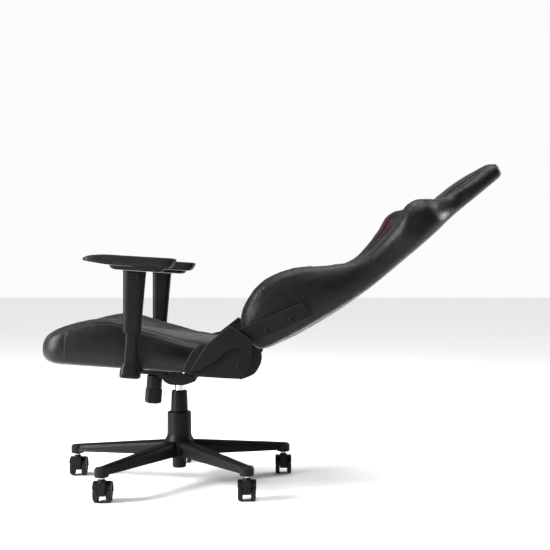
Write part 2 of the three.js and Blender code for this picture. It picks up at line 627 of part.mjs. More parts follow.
function addSeat(seat) {
  const slots = SIDES.map(({ sign }) => onSide(block(70, 100, -230, 40, -20, 40), sign));
  addPiece(seat, 'seat_frame', cut(panBlock(0), ...slots), BLACK_STEEL);
  const front = [0, 3, 9, 18, 30, 44, 62].map((step) => SEAT_FRONT + step);
  const rear = [16, 8, 2, 0].map((step) => SEAT_REAR - step);
  const rings = [...front, ...stations(-270, 120, 13), ...rear].map(seatRing);
  addPiece(seat, 'seat_cushion', cut(loft(rings), panBlock(2 * SEAM_GAP)), LEATHER);
}

// ---------------------------------------------------------------- armrests

// A rounded rectangle section, lofted straight from one height to another.
function post(levels) {
  const rings = levels.map(([z, width, depth, y, radius]) => {
    const outline = roundedShape(rectangle(width, depth), radius).getPoints(4);
    return outline.slice(0, -1).map((point) => new THREE.Vector3(point.x, y + point.y, z));
  });
  return loft(rings);
}

function addArmrest(seat, { word, sign }) {
  const arm = new THREE.Group();
  arm.position.set(sign * ARM_X, ARM_Y, 0);
  seat.add(arm);
  const add = (name, geometry, material) => addPiece(arm, `arm_${name}_${word}`, onSide(geometry, sign), material);

  const footTop = FOOT_HEIGHT - FOOT_DROP;
  const strapEnd = FOOT_WIDTH / 2 + SEAM_GAP;
  const strap = block(-ARM_X + 125, -strapEnd, -24, 24, -4.5, 0.5);
  const tab = block(-strapEnd - 4, -strapEnd, -20, 20, -4.5, footTop - 4);
  add('bracket', join(strap, tab), BLACK_STEEL);

  const postTop = SLEEVE_BOTTOM + 62;
  const foot = post([
    [-FOOT_DROP, FOOT_WIDTH - 6, FOOT_DEPTH - 6, 2, 16], [-FOOT_DROP + 3, FOOT_WIDTH, FOOT_DEPTH, 2, 18],
    [2, FOOT_WIDTH, FOOT_DEPTH, 2, 18], [footTop - 8, POST_WIDTH + 10, POST_DEPTH + 10, 0, 13],
    [footTop, POST_WIDTH + 3, POST_DEPTH + 3, 0, POST_CORNER + 1],
  ]);
  const column = post([[0, POST_WIDTH, POST_DEPTH, 0, POST_CORNER], [postTop, POST_WIDTH, POST_DEPTH, 0, POST_CORNER]]);
  add('post', join(foot, column), SATIN_PLASTIC);

  const roomTop = SLEEVE_TOP - 30;
  const outer = post([
    [SLEEVE_BOTTOM, SLEEVE_WIDTH - 6, 45, -0.5, 13], [SLEEVE_BOTTOM + 2, SLEEVE_WIDTH - 5, 47, -0.5, 14],
    [SLEEVE_TOP - 6, SLEEVE_WIDTH, 61, -4, 16], [SLEEVE_TOP, SLEEVE_WIDTH + 1, 63, -4, 16],
  ]);
  const room = post([
    [SLEEVE_BOTTOM - 5, POST_WIDTH + 2 * RUN_GAP, POST_DEPTH + 2 * RUN_GAP, 0, POST_CORNER],
    [roomTop, POST_WIDTH + 2 * RUN_GAP, POST_DEPTH + 2 * RUN_GAP, 0, POST_CORNER],
  ]);
  const face = SLEEVE_WIDTH / 2;
  const buttonZ = SLEEVE_TOP - 13;
  const pocket = block(face - 9, face + 10, -14, 14, buttonZ - BUTTON_SIZE / 2, buttonZ + BUTTON_SIZE / 2);
  add('sleeve', cut(outer, room, pocket), SATIN_PLASTIC);

  const low = buttonZ - BUTTON_SIZE / 2 + RUN_GAP;
  const high = buttonZ + BUTTON_SIZE / 2 - RUN_GAP;
  const button = sidePlate(
    [[-14 + RUN_GAP, low], [14 - RUN_GAP, low], [14 - RUN_GAP, high], [-14 + RUN_GAP, high]], 4, face - 5, face + 2, 1,
  );
  add('button', button, SATIN_PLASTIC);

  const sliderLow = SLEEVE_TOP + RUN_GAP;
  const sliderTop = sliderLow + SLIDER_THICKNESS;
  const slider = post([
    [sliderLow, 44, 118, 2, 16], [sliderLow + 3, 52, 138, 2, 18], [sliderTop, 56, 150, 2, 20],
  ]);
  add('slider', slider, SATIN_PLASTIC);

  const padLow = sliderTop + RUN_GAP;
  const padTop = padLow + PAD_THICKNESS;
  const [front, rear] = [-PAD_FORWARD, PAD_LENGTH - PAD_FORWARD];
  const padSide = sidePlate([
    [front, padTop - 14], [front + 22, padTop - 5], [front + 60, padTop], [rear, padTop + 1],
    [rear - 17, padLow], [front + 66, padLow], [front + 28, padLow + 4], [front + 1, padTop - 20],
  ], 9, -PAD_WIDTH / 2, PAD_WIDTH / 2);
  const plan = post([
    [padLow - 10, PAD_WIDTH, PAD_LENGTH, front + PAD_LENGTH / 2, 34],
    [padTop + 10, PAD_WIDTH, PAD_LENGTH, front + PAD_LENGTH / 2, 34],
  ]);
  add('pad', keepInside(padSide, plan), SOFT_PAD);
}

// ---------------------------------------------------------------- recliner

// An arc of [y, z] points about the hinge, anticlockwise from one direction to another.
function arcAbout([y, z], radius, from, to, steps) {
  return stations(from, to, steps).map((angle) => [
    y + radius * Math.cos(radians(angle)),
    z + radius * Math.sin(radians(angle)),
  ]);
}

const HINGE = [HINGE_Y, HINGE_Z];
const fromHinge = (points) => points.map(([y, z]) => [HINGE_Y + y, HINGE_Z + z]);
const PIN_HOLE = PIN_RADIUS + RUN_GAP / 2;

function reclinerBracket() {
  const outline = [
    ...fromHinge([[-106, -87], [-74, -40]]),
    ...arcAbout(HINGE, DISC_RADIUS + 6, 150, 30, 6),
    ...fromHinge([[78, -18], [82, -34], [78, -56], [62, -82], [30, -96], [-18, -94]]),
  ];
  const plate = sidePlate(outline, 10, BRACKET_X, BRACKET_X + BRACKET_THICKNESS);
  const flange = block(BRACKET_X - 110, BRACKET_X + 1, 68, 150, -3.5, 1.5);
  flange.rotateX(radians(-SEAT_PITCH)).translate(0, 0, SEAT_Z);
  const bore = crossBar(PIN_HOLE, BRACKET_X - 10, BRACKET_X + 20, ...HINGE);
  return cut(join(plate, flange), bore);
}

function reclinerCover() {
  const lowerPlate = fromHinge([
    [-122, -80], [-104, -83], [9, -90], [28, -95], [49, -57], [54, -31], [47, -22], [20, -9], [-4, -12],
    [-42, -44], [-88, -71], [-115, -74],
  ]);
  const mainFace = fromHinge([
    [-113, -71], [-66, 3], [-4, 51.5], [54, 12.5], [54, -31], [47, -28], [20, -9], [-4, -12], [-42, -44],
    [-88, -71],
  ]);
  const lobe = fromHinge([
    [-131, -68], [-125, -52], [-109, -20], [-88, -1], [-66, 4], [-58, -28], [-108, -78], [-118, -78.5],
  ]);
  const outer = COVER_X + COVER_DEPTH;
  const shell = join(
    sidePlate(lowerPlate, 0, COVER_X, outer - 7, 1.5),
    sidePlate(mainFace, 0, COVER_X, outer, 3),
    sidePlate(lobe, 0, COVER_X, outer - 4, 2),
  );
  const hollow = sidePlate(fromHinge([
    [-60, -36], [-48, -2], [-4, 36], [42, 6], [42, -26], [36, -70], [8, -76], [-36, -60],
  ]), 8, COVER_X - 5, COVER_X + 9);
  const posts = [[-86, -52], [-70, -62]].map(([y, z]) =>
    crossBar(6, BRACKET_X + BRACKET_THICKNESS + SEAM_GAP, COVER_X + 3, HINGE_Y + y, HINGE_Z + z, 16));
  const bore = crossBar(PIN_RADIUS + 1 + RUN_GAP, COVER_X - 5, outer + 5, ...HINGE, 16);
  return { shell: join(cut(shell, hollow), ...posts), bore };
}

// The bar lies along the back's own side, in the back's axes: [along the back, forward of it].
const BAR_MIDDLE = through([[40, 18 - BAR_WIDTH / 2], [BAR_LENGTH, -51]]);

function backBar() {
  const end = BAR_LENGTH;
  const outline = [
    ...arcAbout([0, 0], DISC_RADIUS, 270, 60, 10),
    [40, 20.5], [end - 6, -27.5], [end - 1, -33], [end + 3, -70], [end - 4, -74.5], [40, -BAR_WIDTH + 16],
  ];
  const bar = sidePlate(outline, 0, BAR_X, BAR_X + BAR_THICKNESS, 1.5);
  return cut(bar, crossBar(PIN_HOLE, BAR_X - 5, BAR_X + 20, 0, 0));
}

function hingePin() {
  const inner = BRACKET_X - 3;
  const shaft = crossBar(PIN_RADIUS, inner, BAR_X + BAR_THICKNESS + 1, ...HINGE);
  const head = crossBar(PIN_RADIUS + 4, BAR_X + BAR_THICKNESS + RUN_GAP, BAR_X + BAR_THICKNESS + 3, ...HINGE);
  return join(shaft, head);
}

function reclineLever() {
  const from = BAR_X + BAR_THICKNESS + 3 + RUN_GAP;
  const face = COVER_X + COVER_DEPTH + 2 * RUN_GAP;
  const shaft = crossBar(PIN_RADIUS + 1, from, face + 2, ...HINGE, 16);
  const arm = sidePlate([
    ...arcAbout(HINGE, 17, 60, -60, 4), ...fromHinge([[-60, -30], [-138, -42], [-146, -32], [-138, -20], [-60, 2]]),
  ], 0, face, face + 10, 2);
  return join(shaft, arm);
}

function addRecliners(frame, back) {
  for (const { word, sign } of SIDES) {
    const { shell, bore } = reclinerCover();
    const cover = sign < 0 ? cut(shell, bore) : shell;
    addPiece(frame, `recliner_bracket_${word}`, onSide(reclinerBracket(), sign), BLACK_STEEL);
    addPiece(frame, `hinge_pin_${word}`, onSide(hingePin(), sign), STEEL);
    addPiece(frame, `recliner_cover_${word}`, onSide(cover, sign), SATIN_PLASTIC);
    addPiece(back, `back_bar_${word}`, onSide(backBar(), sign), BLACK_STEEL);
  }
  addPiece(frame, 'recline_lever', onSide(reclineLever(), -1), SATIN_PLASTIC);
}

// ---------------------------------------------------------------- back

const BACK_REAR = through([
  [BACK_START, -64], [131, -85], [205, -97], [321, -110], [382, -113], [511, -109], [708, -100], [882, -97],
]);
const BACK_CREST = through([
  [BACK_START, 20], [77, 56], [107, 71], [158, 84], [197, 80], [232, 71], [277, 49], [318, 21], [360, -5],
  [400, -27], [445, -37], [485, -33], [523, -25], [564, -16], [612, 3], [636, 4], [664, -11], [700, -36],
  [759, -50], [BACK_LENGTH, -55],
]);
const BACK_PANEL = through([
  [BACK_START, -8], [110, 14], [200, 8], [300, -16], [400, -44], [500, -54], [640, -52], [720, -46],
  [800, -44], [BACK_LENGTH, -54],
]);
const BACK_HALF = through([
  [BACK_START, 236], [110, 258], [180, BACK_HALF_WIDTH], [260, 256], [390, 238], [500, 248],
  [610, BACK_HALF_WIDTH + 6], [650, 250], [690, 190], [HEAD_START + 15, HEAD_HALF_WIDTH], [800, 146],
  [BACK_LENGTH, 122],
]);

function backRing(h) {
  const head = roundEnd(BACK_LENGTH - h, 26);
  const foot = roundEnd(h - BACK_START, 20);
  const half = BACK_HALF(h) - 34 * (1 - head) - 16 * (1 - foot);
  const [rear, crest, panel] = [BACK_REAR(h), BACK_CREST(h), BACK_PANEL(h)];
  const scale = half / BACK_HALF_WIDTH;
  const deep = crest - rear;
  const middle = rear + 0.5 * (panel - rear);
  const pull = Math.max(0.15, Math.min(head, foot));
  const flank = [
    [0, rear - 2], [half - 70 * scale, rear], [half - 26 * scale, rear + 0.06 * deep],
    [half - 6 * scale, rear + 0.22 * deep], [half, rear + 0.45 * deep], [half - 2 * scale, rear + 0.7 * deep],
    [half - 14 * scale, rear + 0.92 * deep], [half - 36 * scale, crest], [half - 62 * scale, crest - 0.08 * deep],
    [half - 96 * scale, panel + 3], [0, panel + 2],
  ].map(([x, f]) => [x, middle + (f - middle) * pull]);
  const mirrored = flank.slice(1, -1).reverse().map(([x, f]) => [-x, f]);
  return flank.concat(mirrored).map(([x, f]) => new THREE.Vector3(x, h, f));
}

// Two side rails that follow the back's rear face, cross rails between them, and tabs that reach
// the bars' inner faces.
function backFrame(grow) {
  const railX = BACK_HALF_WIDTH - 88;
  const along = [70, 205, 382, 660];
  const outline = [
    ...along.map((h) => [h + (h < 100 ? -grow : 0), BACK_REAR(h) + 12 - grow]),
    ...along.toReversed().map((h) => [h + (h > 600 ? grow : 0), BACK_REAR(h) + 28 + grow]),
  ];
  const rails = SIDES.map(({ sign }) => onSide(sidePlate(outline, 0, railX - grow, railX + 18 + grow), sign));
  const rungs = [90, 240, 420, 640].map((h) => {
    const rear = BACK_REAR(h) + 13 - grow;
    return block(-railX - 4, railX + 4, h - 9 - grow, h + 9 + grow, rear, rear + 14 + 2 * grow);
  });
  const reach = BAR_X - SEAM_GAP;
  const tabs = SIDES.flatMap(({ sign }) => [100, 185].flatMap((h) => {
    const middle = BAR_MIDDLE(h);
    const span = [h - 14 - grow, h + 14 + grow];
    return [
      block(railX + 2 - grow, railX + 16 + grow, ...span, BACK_REAR(h) + 14 - grow, middle + 6 + grow),
      block(railX + 2, reach + grow, ...span, middle - 6 - grow, middle + 6 + grow),
    ].map((piece) => onSide(piece, sign));
  }));
  return join(...rails, ...rungs, ...tabs);
}

function addBack(back) {
  addPiece(back, 'back_frame', backFrame(0), BLACK_STEEL);
  const foot = [0, 4, 11, 20].map((step) => BACK_START + step);
  const head = [30, 20, 12, 6, 1.5, 0].map((step) => BACK_LENGTH - step);
  const rings = [...foot, ...stations(88, 850, 20), ...head].map(backRing);
  addPiece(back, 'back_cushion', cut(loft(rings), backFrame(2 * SEAM_GAP)), LEATHER);
}

// ---------------------------------------------------------------- assembly

const seat = new THREE.Group();
seat.position.z = SEAT_Z;
seat.rotation.x = radians(-SEAT_PITCH);
chair.add(seat);

const back = new THREE.Group();
back.position.set(0, HINGE_Y, HINGE_Z);
back.rotation.x = radians(RECLINE);
chair.add(back);

addPiece(chair, 'star_base', starBase(), NYLON);
addCasters(chair);
addLift(chair);
addMechanism(chair, seat);
addSeat(seat);
SIDES.forEach((side) => addArmrest(seat, side));
addRecliners(chair, back);
addBack(back);
chair.position.y = LIFT_AXIS_Y;

export default chair;
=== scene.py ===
"""A reclining gaming chair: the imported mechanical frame, upholstered and finished, in a studio.

Everything is in metres in the row frame: +Z up, the sitter faces -Y, the lift stands at X = 0.
"""

import json
import math

import bpy
import numpy as np
from mathutils import Matrix, Vector
from mathutils.bvhtree import BVHTree
from mathutils.kdtree import KDTree


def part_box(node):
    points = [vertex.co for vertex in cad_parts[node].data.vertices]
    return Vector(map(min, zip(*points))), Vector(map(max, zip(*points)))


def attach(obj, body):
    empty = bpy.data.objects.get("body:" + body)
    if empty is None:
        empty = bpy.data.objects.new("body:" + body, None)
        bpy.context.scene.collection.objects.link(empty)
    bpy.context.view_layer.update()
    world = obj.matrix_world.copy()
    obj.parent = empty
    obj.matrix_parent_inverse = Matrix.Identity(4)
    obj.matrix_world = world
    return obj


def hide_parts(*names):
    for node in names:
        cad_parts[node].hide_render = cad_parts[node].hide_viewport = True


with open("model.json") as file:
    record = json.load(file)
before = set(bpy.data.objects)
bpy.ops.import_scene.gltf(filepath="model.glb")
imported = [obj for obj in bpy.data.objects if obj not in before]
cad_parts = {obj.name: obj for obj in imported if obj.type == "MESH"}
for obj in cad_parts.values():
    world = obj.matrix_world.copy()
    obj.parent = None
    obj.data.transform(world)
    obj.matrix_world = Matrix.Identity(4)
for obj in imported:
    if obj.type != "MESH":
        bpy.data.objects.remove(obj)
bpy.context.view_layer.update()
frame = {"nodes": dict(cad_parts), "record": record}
NODES = frame["nodes"]
SCENE = bpy.context.scene
SIDES = {"left": 1, "right": -1}

# ------------------------------------------------------------------ driving dimensions

SEAT_HALF = 0.258
SEAT_FRONT, SEAT_REAR = -0.362, 0.165
SEAT_CORNER = 0.062
SEAT_NOSE = 0.048  # length of the rounding at the front edge
SEAT_BOLSTER = 0.094  # width of a side bolster
SEAT_PITCH = math.radians(3.8)
SEAT_UNDERSIDE = 0.0024
HINGE_RISE = 0.081
BACK_HALF = 0.262
BACK_BOLSTER = 0.096
BACK_START, BACK_LENGTH = 0.040, 0.907
HEAD_HALF, HEAD_START = 0.150, 0.715
RECLINE = math.radians(38)

SEAT_VOXEL = 0.006
BACK_VOXEL = 0.0066
FOAM_INSET = 0.0025  # the pressed-in start from which the foam swells
SIDE_PROUD = 0.0022  # how far a cushion's side may stand past its nominal width
SEAM_WIDTH = 0.0032
SEAM_DEPTH = 0.0021
SEAM_STEP = 0.002  # spacing of the points that make a seam line
SEWN_REACH = 0.0045  # how far from a seam the skin is sewn down
SWELL = 0.011  # the most that the foam stands out between seams
PUCKER = 0.0008
SHARP = math.radians(38)  # edges sharper than this stay creased

# ------------------------------------------------------------------ frames and small maths


def middle(node):
    low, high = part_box(node)
    return (low + high) / 2


HINGE = middle("hinge_pin_left")
LIFT = middle("piston_rod")
SEAT_SPACE = Matrix.Translation((0, LIFT.y, HINGE.z - HINGE_RISE)) @ Matrix.Rotation(-SEAT_PITCH, 4, "X")
BACK_SPACE = Matrix.Translation((0, HINGE.y, HINGE.z)) @ Matrix.Rotation(RECLINE, 4, "X")


def placed(space, points):
    """Points of a local frame, in the row frame."""
    turn = np.array(space.to_3x3())
    return np.asarray(points, float) @ turn.T + np.array(space.translation)


def local(space, points):
    """Points of the row frame, in a local frame."""
    return placed(space.inverted(), points)


def through(*points):
    """A smooth function of one variable through the points, level beyond both ends."""
    knots, values = (np.array(column, float) for column in zip(*points))
    slopes = np.gradient(values, knots)

    def at(t):
        t = np.clip(t, knots[0], knots[-1])
        i = np.clip(np.searchsorted(knots, t, side="right") - 1, 0, len(knots) - 2)
        span = knots[i + 1] - knots[i]
        u = (t - knots[i]) / span
        rise = (values[i + 1] - values[i]) * u * u * (3 - 2 * u)
        return values[i] + rise + u * (1 - u) * ((1 - u) * slopes[i] - u * slopes[i + 1]) * span

    return at


def ease(t):
    t = np.clip(t, 0, 1)
    return t * t * (3 - 2 * t)


def round_end(distance, nose, power=2):
    """From 0 at the tip to 1 at the end of the nose; power 2 is a quarter circle, more is blunter."""
    return max(0, 1 - max(0, 1 - distance / nose) ** power) ** (1 / power)


# ------------------------------------------------------------------ materials


class Shading:
    """A Principled material and the few node recipes used on it."""

    def __init__(self, name, colour, roughness, metallic=0.0, specular=0.5):
        self.material = bpy.data.materials.new(name)
        self.material.use_nodes = True
        self.tree = self.material.node_tree
        self.surface = self.tree.nodes["Principled BSDF"]
        self.set("Base Color", (*colour, 1))
        self.set("Roughness", roughness)
        self.set("Metallic", metallic)
        self.set("Specular IOR Level", specular)
        self.place = self.node("ShaderNodeTexCoord").outputs["Object"]
        self.height = None

    def set(self, socket, value):
        self.surface.inputs[socket].default_value = value

    def node(self, kind, inputs=(), **settings):
        made = self.tree.nodes.new(kind)
        for key, value in settings.items():
            setattr(made, key, value)
        for socket, value in dict(inputs).items():
            if isinstance(value, bpy.types.NodeSocket):
                self.tree.links.new(value, made.inputs[socket])
            else:
                made.inputs[socket].default_value = value
        return made

    def link(self, output, socket):
        self.tree.links.new(output, self.surface.inputs[socket])

    def stretched(self, scale):
        return self.node("ShaderNodeMapping", {"Vector": self.place, "Scale": scale}).outputs[0]

    def noise(self, scale, detail=3.0, rough=0.5, stretch=None):
        where = self.stretched(stretch) if stretch else self.place
        inputs = {"Vector": where, "Scale": scale, "Detail": detail, "Roughness": rough}
        return self.node("ShaderNodeTexNoise", inputs).outputs["Fac"]

    def cells(self, scale, feature="DISTANCE_TO_EDGE"):
        made = self.node("ShaderNodeTexVoronoi", {"Vector": self.place, "Scale": scale}, feature=feature)
        return made.outputs["Distance"]

    def ranged(self, value, low, high, from_low=0.0, from_high=1.0):
        inputs = {"Value": value, "From Min": from_low, "From Max": from_high, "To Min": low, "To Max": high}
        return self.node("ShaderNodeMapRange", inputs).outputs["Result"]

    def mixed(self, factor, first, second):
        made = self.node("ShaderNodeMix", data_type="RGBA")
        for value, index in ((factor, 0), (first, 6), (second, 7)):
            if isinstance(value, bpy.types.NodeSocket):
                self.tree.links.new(value, made.inputs[index])
            else:
                made.inputs[index].default_value = value if index == 0 else (*value, 1)
        return made.outputs[2]

    def bump(self, height, strength, distance):
        inputs = {"Height": height, "Strength": strength, "Distance": distance}
        if self.height is not None:
            inputs["Normal"] = self.height
        self.height = self.node("ShaderNodeBump", inputs).outputs["Normal"]
        self.link(self.height, "Normal")

    def worn(self, base, worn, low=0.6, high=0.85):
        """The base colour, paler along edges that hands and clothes rub."""
        edge = self.node("ShaderNodeNewGeometry").outputs["Pointiness"]
        return self.mixed(self.ranged(edge, 0.0, 1.0, low, high), base, worn)

    def roughness_from(self, value, low, high):
        self.link(self.ranged(value, low, high, 0.3, 0.7), "Roughness")


def leather(name, colour, pale):
    made = Shading(name, colour, 0.5, specular=0.14)
    cloudy = made.noise(9, 4, 0.6)
    toned = made.mixed(made.ranged(cloudy, 0, 1, 0.35, 0.7), colour, pale)
    grain = made.cells(620)
    creased = made.mixed(made.ranged(grain, 0, 1, 0.0, 0.22), tuple(0.55 * c for c in colour), toned)
    made.link(creased, "Base Color")
    made.roughness_from(made.noise(42, 5, 0.65), 0.32, 0.5)
    made.bump(made.noise(26, 4, 0.6), 0.25, 0.002)
    made.bump(made.ranged(grain, 0, 1, 0.0, 0.25), 0.3, 0.00018)
    made.bump(made.noise(1500, 2, 0.5), 0.12, 0.0001)
    made.set("Sheen Weight", 0.06)
    made.set("Sheen Roughness", 0.45)
    return made.material


def moulded(name, colour, pale, rough=(0.34, 0.5), grain=900, depth=0.0002, specular=0.1):
    made = Shading(name, colour, rough[0], specular=specular)
    toned = made.mixed(made.noise(14, 4), colour, pale)
    made.link(made.worn(toned, tuple(1.6 * c for c in pale)), "Base Color")
    made.roughness_from(made.noise(60, 5, 0.6), *rough)
    made.bump(made.noise(grain, 3, 0.6), 0.3, depth)
    made.bump(made.noise(18, 2), 0.08, 0.001)
    return made.material


def metal(name, colour, rough, stretch, shade=0.8, metallic=1.0):
    made = Shading(name, colour, rough[0], metallic=metallic)
    streaks = made.noise(220, 4, 0.6, stretch)
    made.link(made.mixed(streaks, tuple(shade * c for c in colour), colour), "Base Color")
    made.roughness_from(made.noise(90, 5, 0.6, stretch), *rough)
    made.bump(streaks, 0.12, 0.0001)
    return made.material


def powder_coat(name, colour):
    made = Shading(name, colour, 0.42, specular=0.14)
    made.link(made.worn(colour, (0.022, 0.022, 0.023)), "Base Color")
    made.roughness_from(made.noise(35, 5), 0.34, 0.5)
    made.bump(made.cells(1100, "F1"), 0.25, 0.0003)
    return made.material


def thread(name, colour):
    made = Shading(name, colour, 0.6)
    twist = made.noise(1800, 2, 0.5)
    made.link(made.mixed(twist, tuple(0.5 * c for c in colour), colour), "Base Color")
    made.bump(twist, 0.5, 0.0002)
    made.set("Sheen Weight", 0.25)
    return made.material


LEATHER = leather("leatherette", (0.0038, 0.0038, 0.0041), (0.0072, 0.0072, 0.0077))
PANEL_LEATHER = leather("leatherette_panel", (0.0085, 0.0085, 0.0092), (0.0145, 0.0145, 0.0154))
RED_LEATHER = leather("leatherette_red", (0.022, 0.0020, 0.0030), (0.034, 0.0032, 0.0044))
FINISH = {
    "leatherette": LEATHER,
    "satin_plastic": moulded("satin_plastic", (0.0034, 0.0034, 0.0036), (0.0055, 0.0055, 0.0058)),
    "nylon": moulded("nylon", (0.0036, 0.0036, 0.0038), (0.0058, 0.0058, 0.0061), (0.36, 0.55), 500, 0.0003),
    "caster_tread": moulded("caster_tread", (0.007, 0.007, 0.0072), (0.012, 0.012, 0.0122), (0.5, 0.7), 300),
    "black_steel": powder_coat("black_steel", (0.0045, 0.0045, 0.0048)),
    "bright_steel": metal("bright_steel", (0.5, 0.51, 0.52), (0.22, 0.36), (1, 1, 14)),
    "chrome": metal("chrome", (0.5, 0.51, 0.52), (0.07, 0.14), (6, 6, 1), 0.94),
    "arm_pad_skin": moulded(
        "arm_pad_skin", (0.0050, 0.0050, 0.0052), (0.0080, 0.0080, 0.0083), (0.45, 0.62), 420, 0.0004
    ),
    "red_thread": thread("red_thread", (0.32, 0.012, 0.018)),
    "black_thread": thread("black_thread", (0.022, 0.022, 0.024)),
}

# ------------------------------------------------------------------ the CAD nodes' finish


def smooth_by_angle(limit):
    """A node group that shades smooth everywhere but across edges sharper than the limit."""
    group = bpy.data.node_groups.new("smooth_by_angle", "GeometryNodeTree")
    group.interface.new_socket("Geometry", in_out="INPUT", socket_type="NodeSocketGeometry")
    group.interface.new_socket("Geometry", in_out="OUTPUT", socket_type="NodeSocketGeometry")
    made = {
        key: group.nodes.new(kind)
        for key, kind in {
            "start": "NodeGroupInput", "end": "NodeGroupOutput", "angle": "GeometryNodeInputMeshEdgeAngle",
            "sharp": "FunctionNodeCompare", "faces": "GeometryNodeSetShadeSmooth",
            "edges": "GeometryNodeSetShadeSmooth",
        }.items()
    }
    made["sharp"].inputs[1].default_value = limit
    made["edges"].domain = "EDGE"
    made["edges"].inputs["Shade Smooth"].default_value = False
    group.links.new(made["start"].outputs[0], made["faces"].inputs["Geometry"])
    group.links.new(made["faces"].outputs[0], made["edges"].inputs["Geometry"])
    group.links.new(made["angle"].outputs["Unsigned Angle"], made["sharp"].inputs[0])
    group.links.new(made["sharp"].outputs[0], made["edges"].inputs["Selection"])
    group.links.new(made["edges"].outputs[0], made["end"].inputs[0])
    return group


SMOOTHING = smooth_by_angle(SHARP)
EDGE_RADIUS = {"satin_plastic": 0.0009, "nylon": 0.0012, "caster_tread": 0.0006, "black_steel": 0.0006}


def give_finish(obj, material):
    obj.data.materials.clear()
    obj.data.materials.append(material)


def dress_node(node, slot):
    """Rounded edges, smooth faces and the slot's material on a CAD node."""
    obj = NODES[node]
    weld = obj.modifiers.new("weld", "WELD")
    weld.merge_threshold = 2e-5
    bevel = obj.modifiers.new("bevel", "BEVEL")
    bevel.width = EDGE_RADIUS.get(slot, 0.0004)
    bevel.segments = 2
    bevel.limit_method = "ANGLE"
    bevel.angle_limit = SHARP
    smoothing = obj.modifiers.new("smoothing", "NODES")
    smoothing.node_group = SMOOTHING
    obj.modifiers.new("weighted", "WEIGHTED_NORMAL").keep_sharp = True
    if not obj.material_slots:
        obj.data.materials.append(None)
    for held in obj.material_slots:
        held.link = "OBJECT"
        held.material = FINISH[slot]


for part in frame["record"]["subparts"]:
    dress_node(part["node"], part["material_slot"])

# ------------------------------------------------------------------ making meshes


def mesh_object(name, points, faces, smooth=True):
    mesh = bpy.data.meshes.new(name)
    mesh.from_pydata(np.asarray(points).tolist(), [], [list(face) for face in faces])
    mesh.polygons.foreach_set("use_smooth", [smooth] * len(mesh.polygons))
    mesh.update()
    obj = bpy.data.objects.new(name, mesh)
    SCENE.collection.objects.link(obj)
    return obj


def apply_modifiers(obj):
    shaped = bpy.data.meshes.new_from_object(obj.evaluated_get(bpy.context.evaluated_depsgraph_get()))
    obj.modifiers.clear()
    obj.data = shaped
    return obj


def coords(obj):
    values = np.empty(len(obj.data.vertices) * 3)
    obj.data.vertices.foreach_get("co", values)
    return values.reshape(-1, 3)


def normals(obj):
    values = np.empty(len(obj.data.vertices) * 3)
    obj.data.vertex_normals.foreach_get("vector", values)
    return values.reshape(-1, 3)


def move_to(obj, points):
    obj.data.vertices.foreach_set("co", np.asarray(points, float).ravel())
    obj.data.update()


def loft(name, rings):
    """A closed skin over rings of equal length, each symmetrical left to right, flat at both ends."""
    count = len(rings[0])
    faces = [
        (i * count + j, i * count + (j + 1) % count, (i + 1) * count + (j + 1) % count, (i + 1) * count + j)
        for i in range(len(rings) - 1)
        for j in range(count)
    ]
    last = (len(rings) - 1) * count
    half = count // 2
    for j in range(half):
        near = [j, j + 1, (count - j - 1) % count, (count - j) % count]
        face = list(dict.fromkeys(near))
        faces.append(face[::-1])
        faces.append([last + k for k in face])
    return mesh_object(name, np.concatenate(rings), faces)


def remeshed(obj, voxel, rounds):
    """Even quads all over, with the creases between rings smoothed away."""
    remesh = obj.modifiers.new("remesh", "REMESH")
    remesh.mode = "VOXEL"
    remesh.voxel_size = voxel
    remesh.use_smooth_shade = True
    relax = obj.modifiers.new("relax", "SMOOTH")
    relax.factor = 0.5
    relax.iterations = rounds
    return apply_modifiers(obj)


# ------------------------------------------------------------------ seams


def resampled(points, step=SEAM_STEP):
    points = np.asarray(points, float)
    lengths = np.concatenate([[0], np.cumsum(np.linalg.norm(np.diff(points, axis=0), axis=1))])
    marks = np.linspace(0, lengths[-1], max(2, round(lengths[-1] / step)))
    return np.stack([np.interp(marks, lengths, points[:, k]) for k in range(3)], axis=1)


def surface_of(obj):
    mesh = obj.evaluated_get(bpy.context.evaluated_depsgraph_get()).to_mesh()
    return BVHTree.FromPolygons([v.co.copy() for v in mesh.vertices], [p.vertices[:] for p in mesh.polygons])


def laid_on(surface, points, lift=0.0):
    """The nearest surface points to a line, with the surface's normals there."""
    hits = [surface.find_nearest(Vector(point)) for point in points]
    normal = np.array([hit[1][:] for hit in hits])
    return np.array([hit[0][:] for hit in hits]) + lift * normal, normal


def seam_distances(points, seams):
    """For each point, how far the nearest seam is and how far along that seam it lies."""
    line = np.concatenate(seams)
    along = np.concatenate([np.arange(len(seam)) * SEAM_STEP + 0.37 * k for k, seam in enumerate(seams)])
    tree = KDTree(len(line))
    for i, point in enumerate(line):
        tree.insert(point, i)
    tree.balance()
    found = [tree.find(point)[1:] for point in points]
    index = np.array([i for i, _ in found])
    return np.array([distance for _, distance in found]), along[index]


SWELL_FRAMES = 20


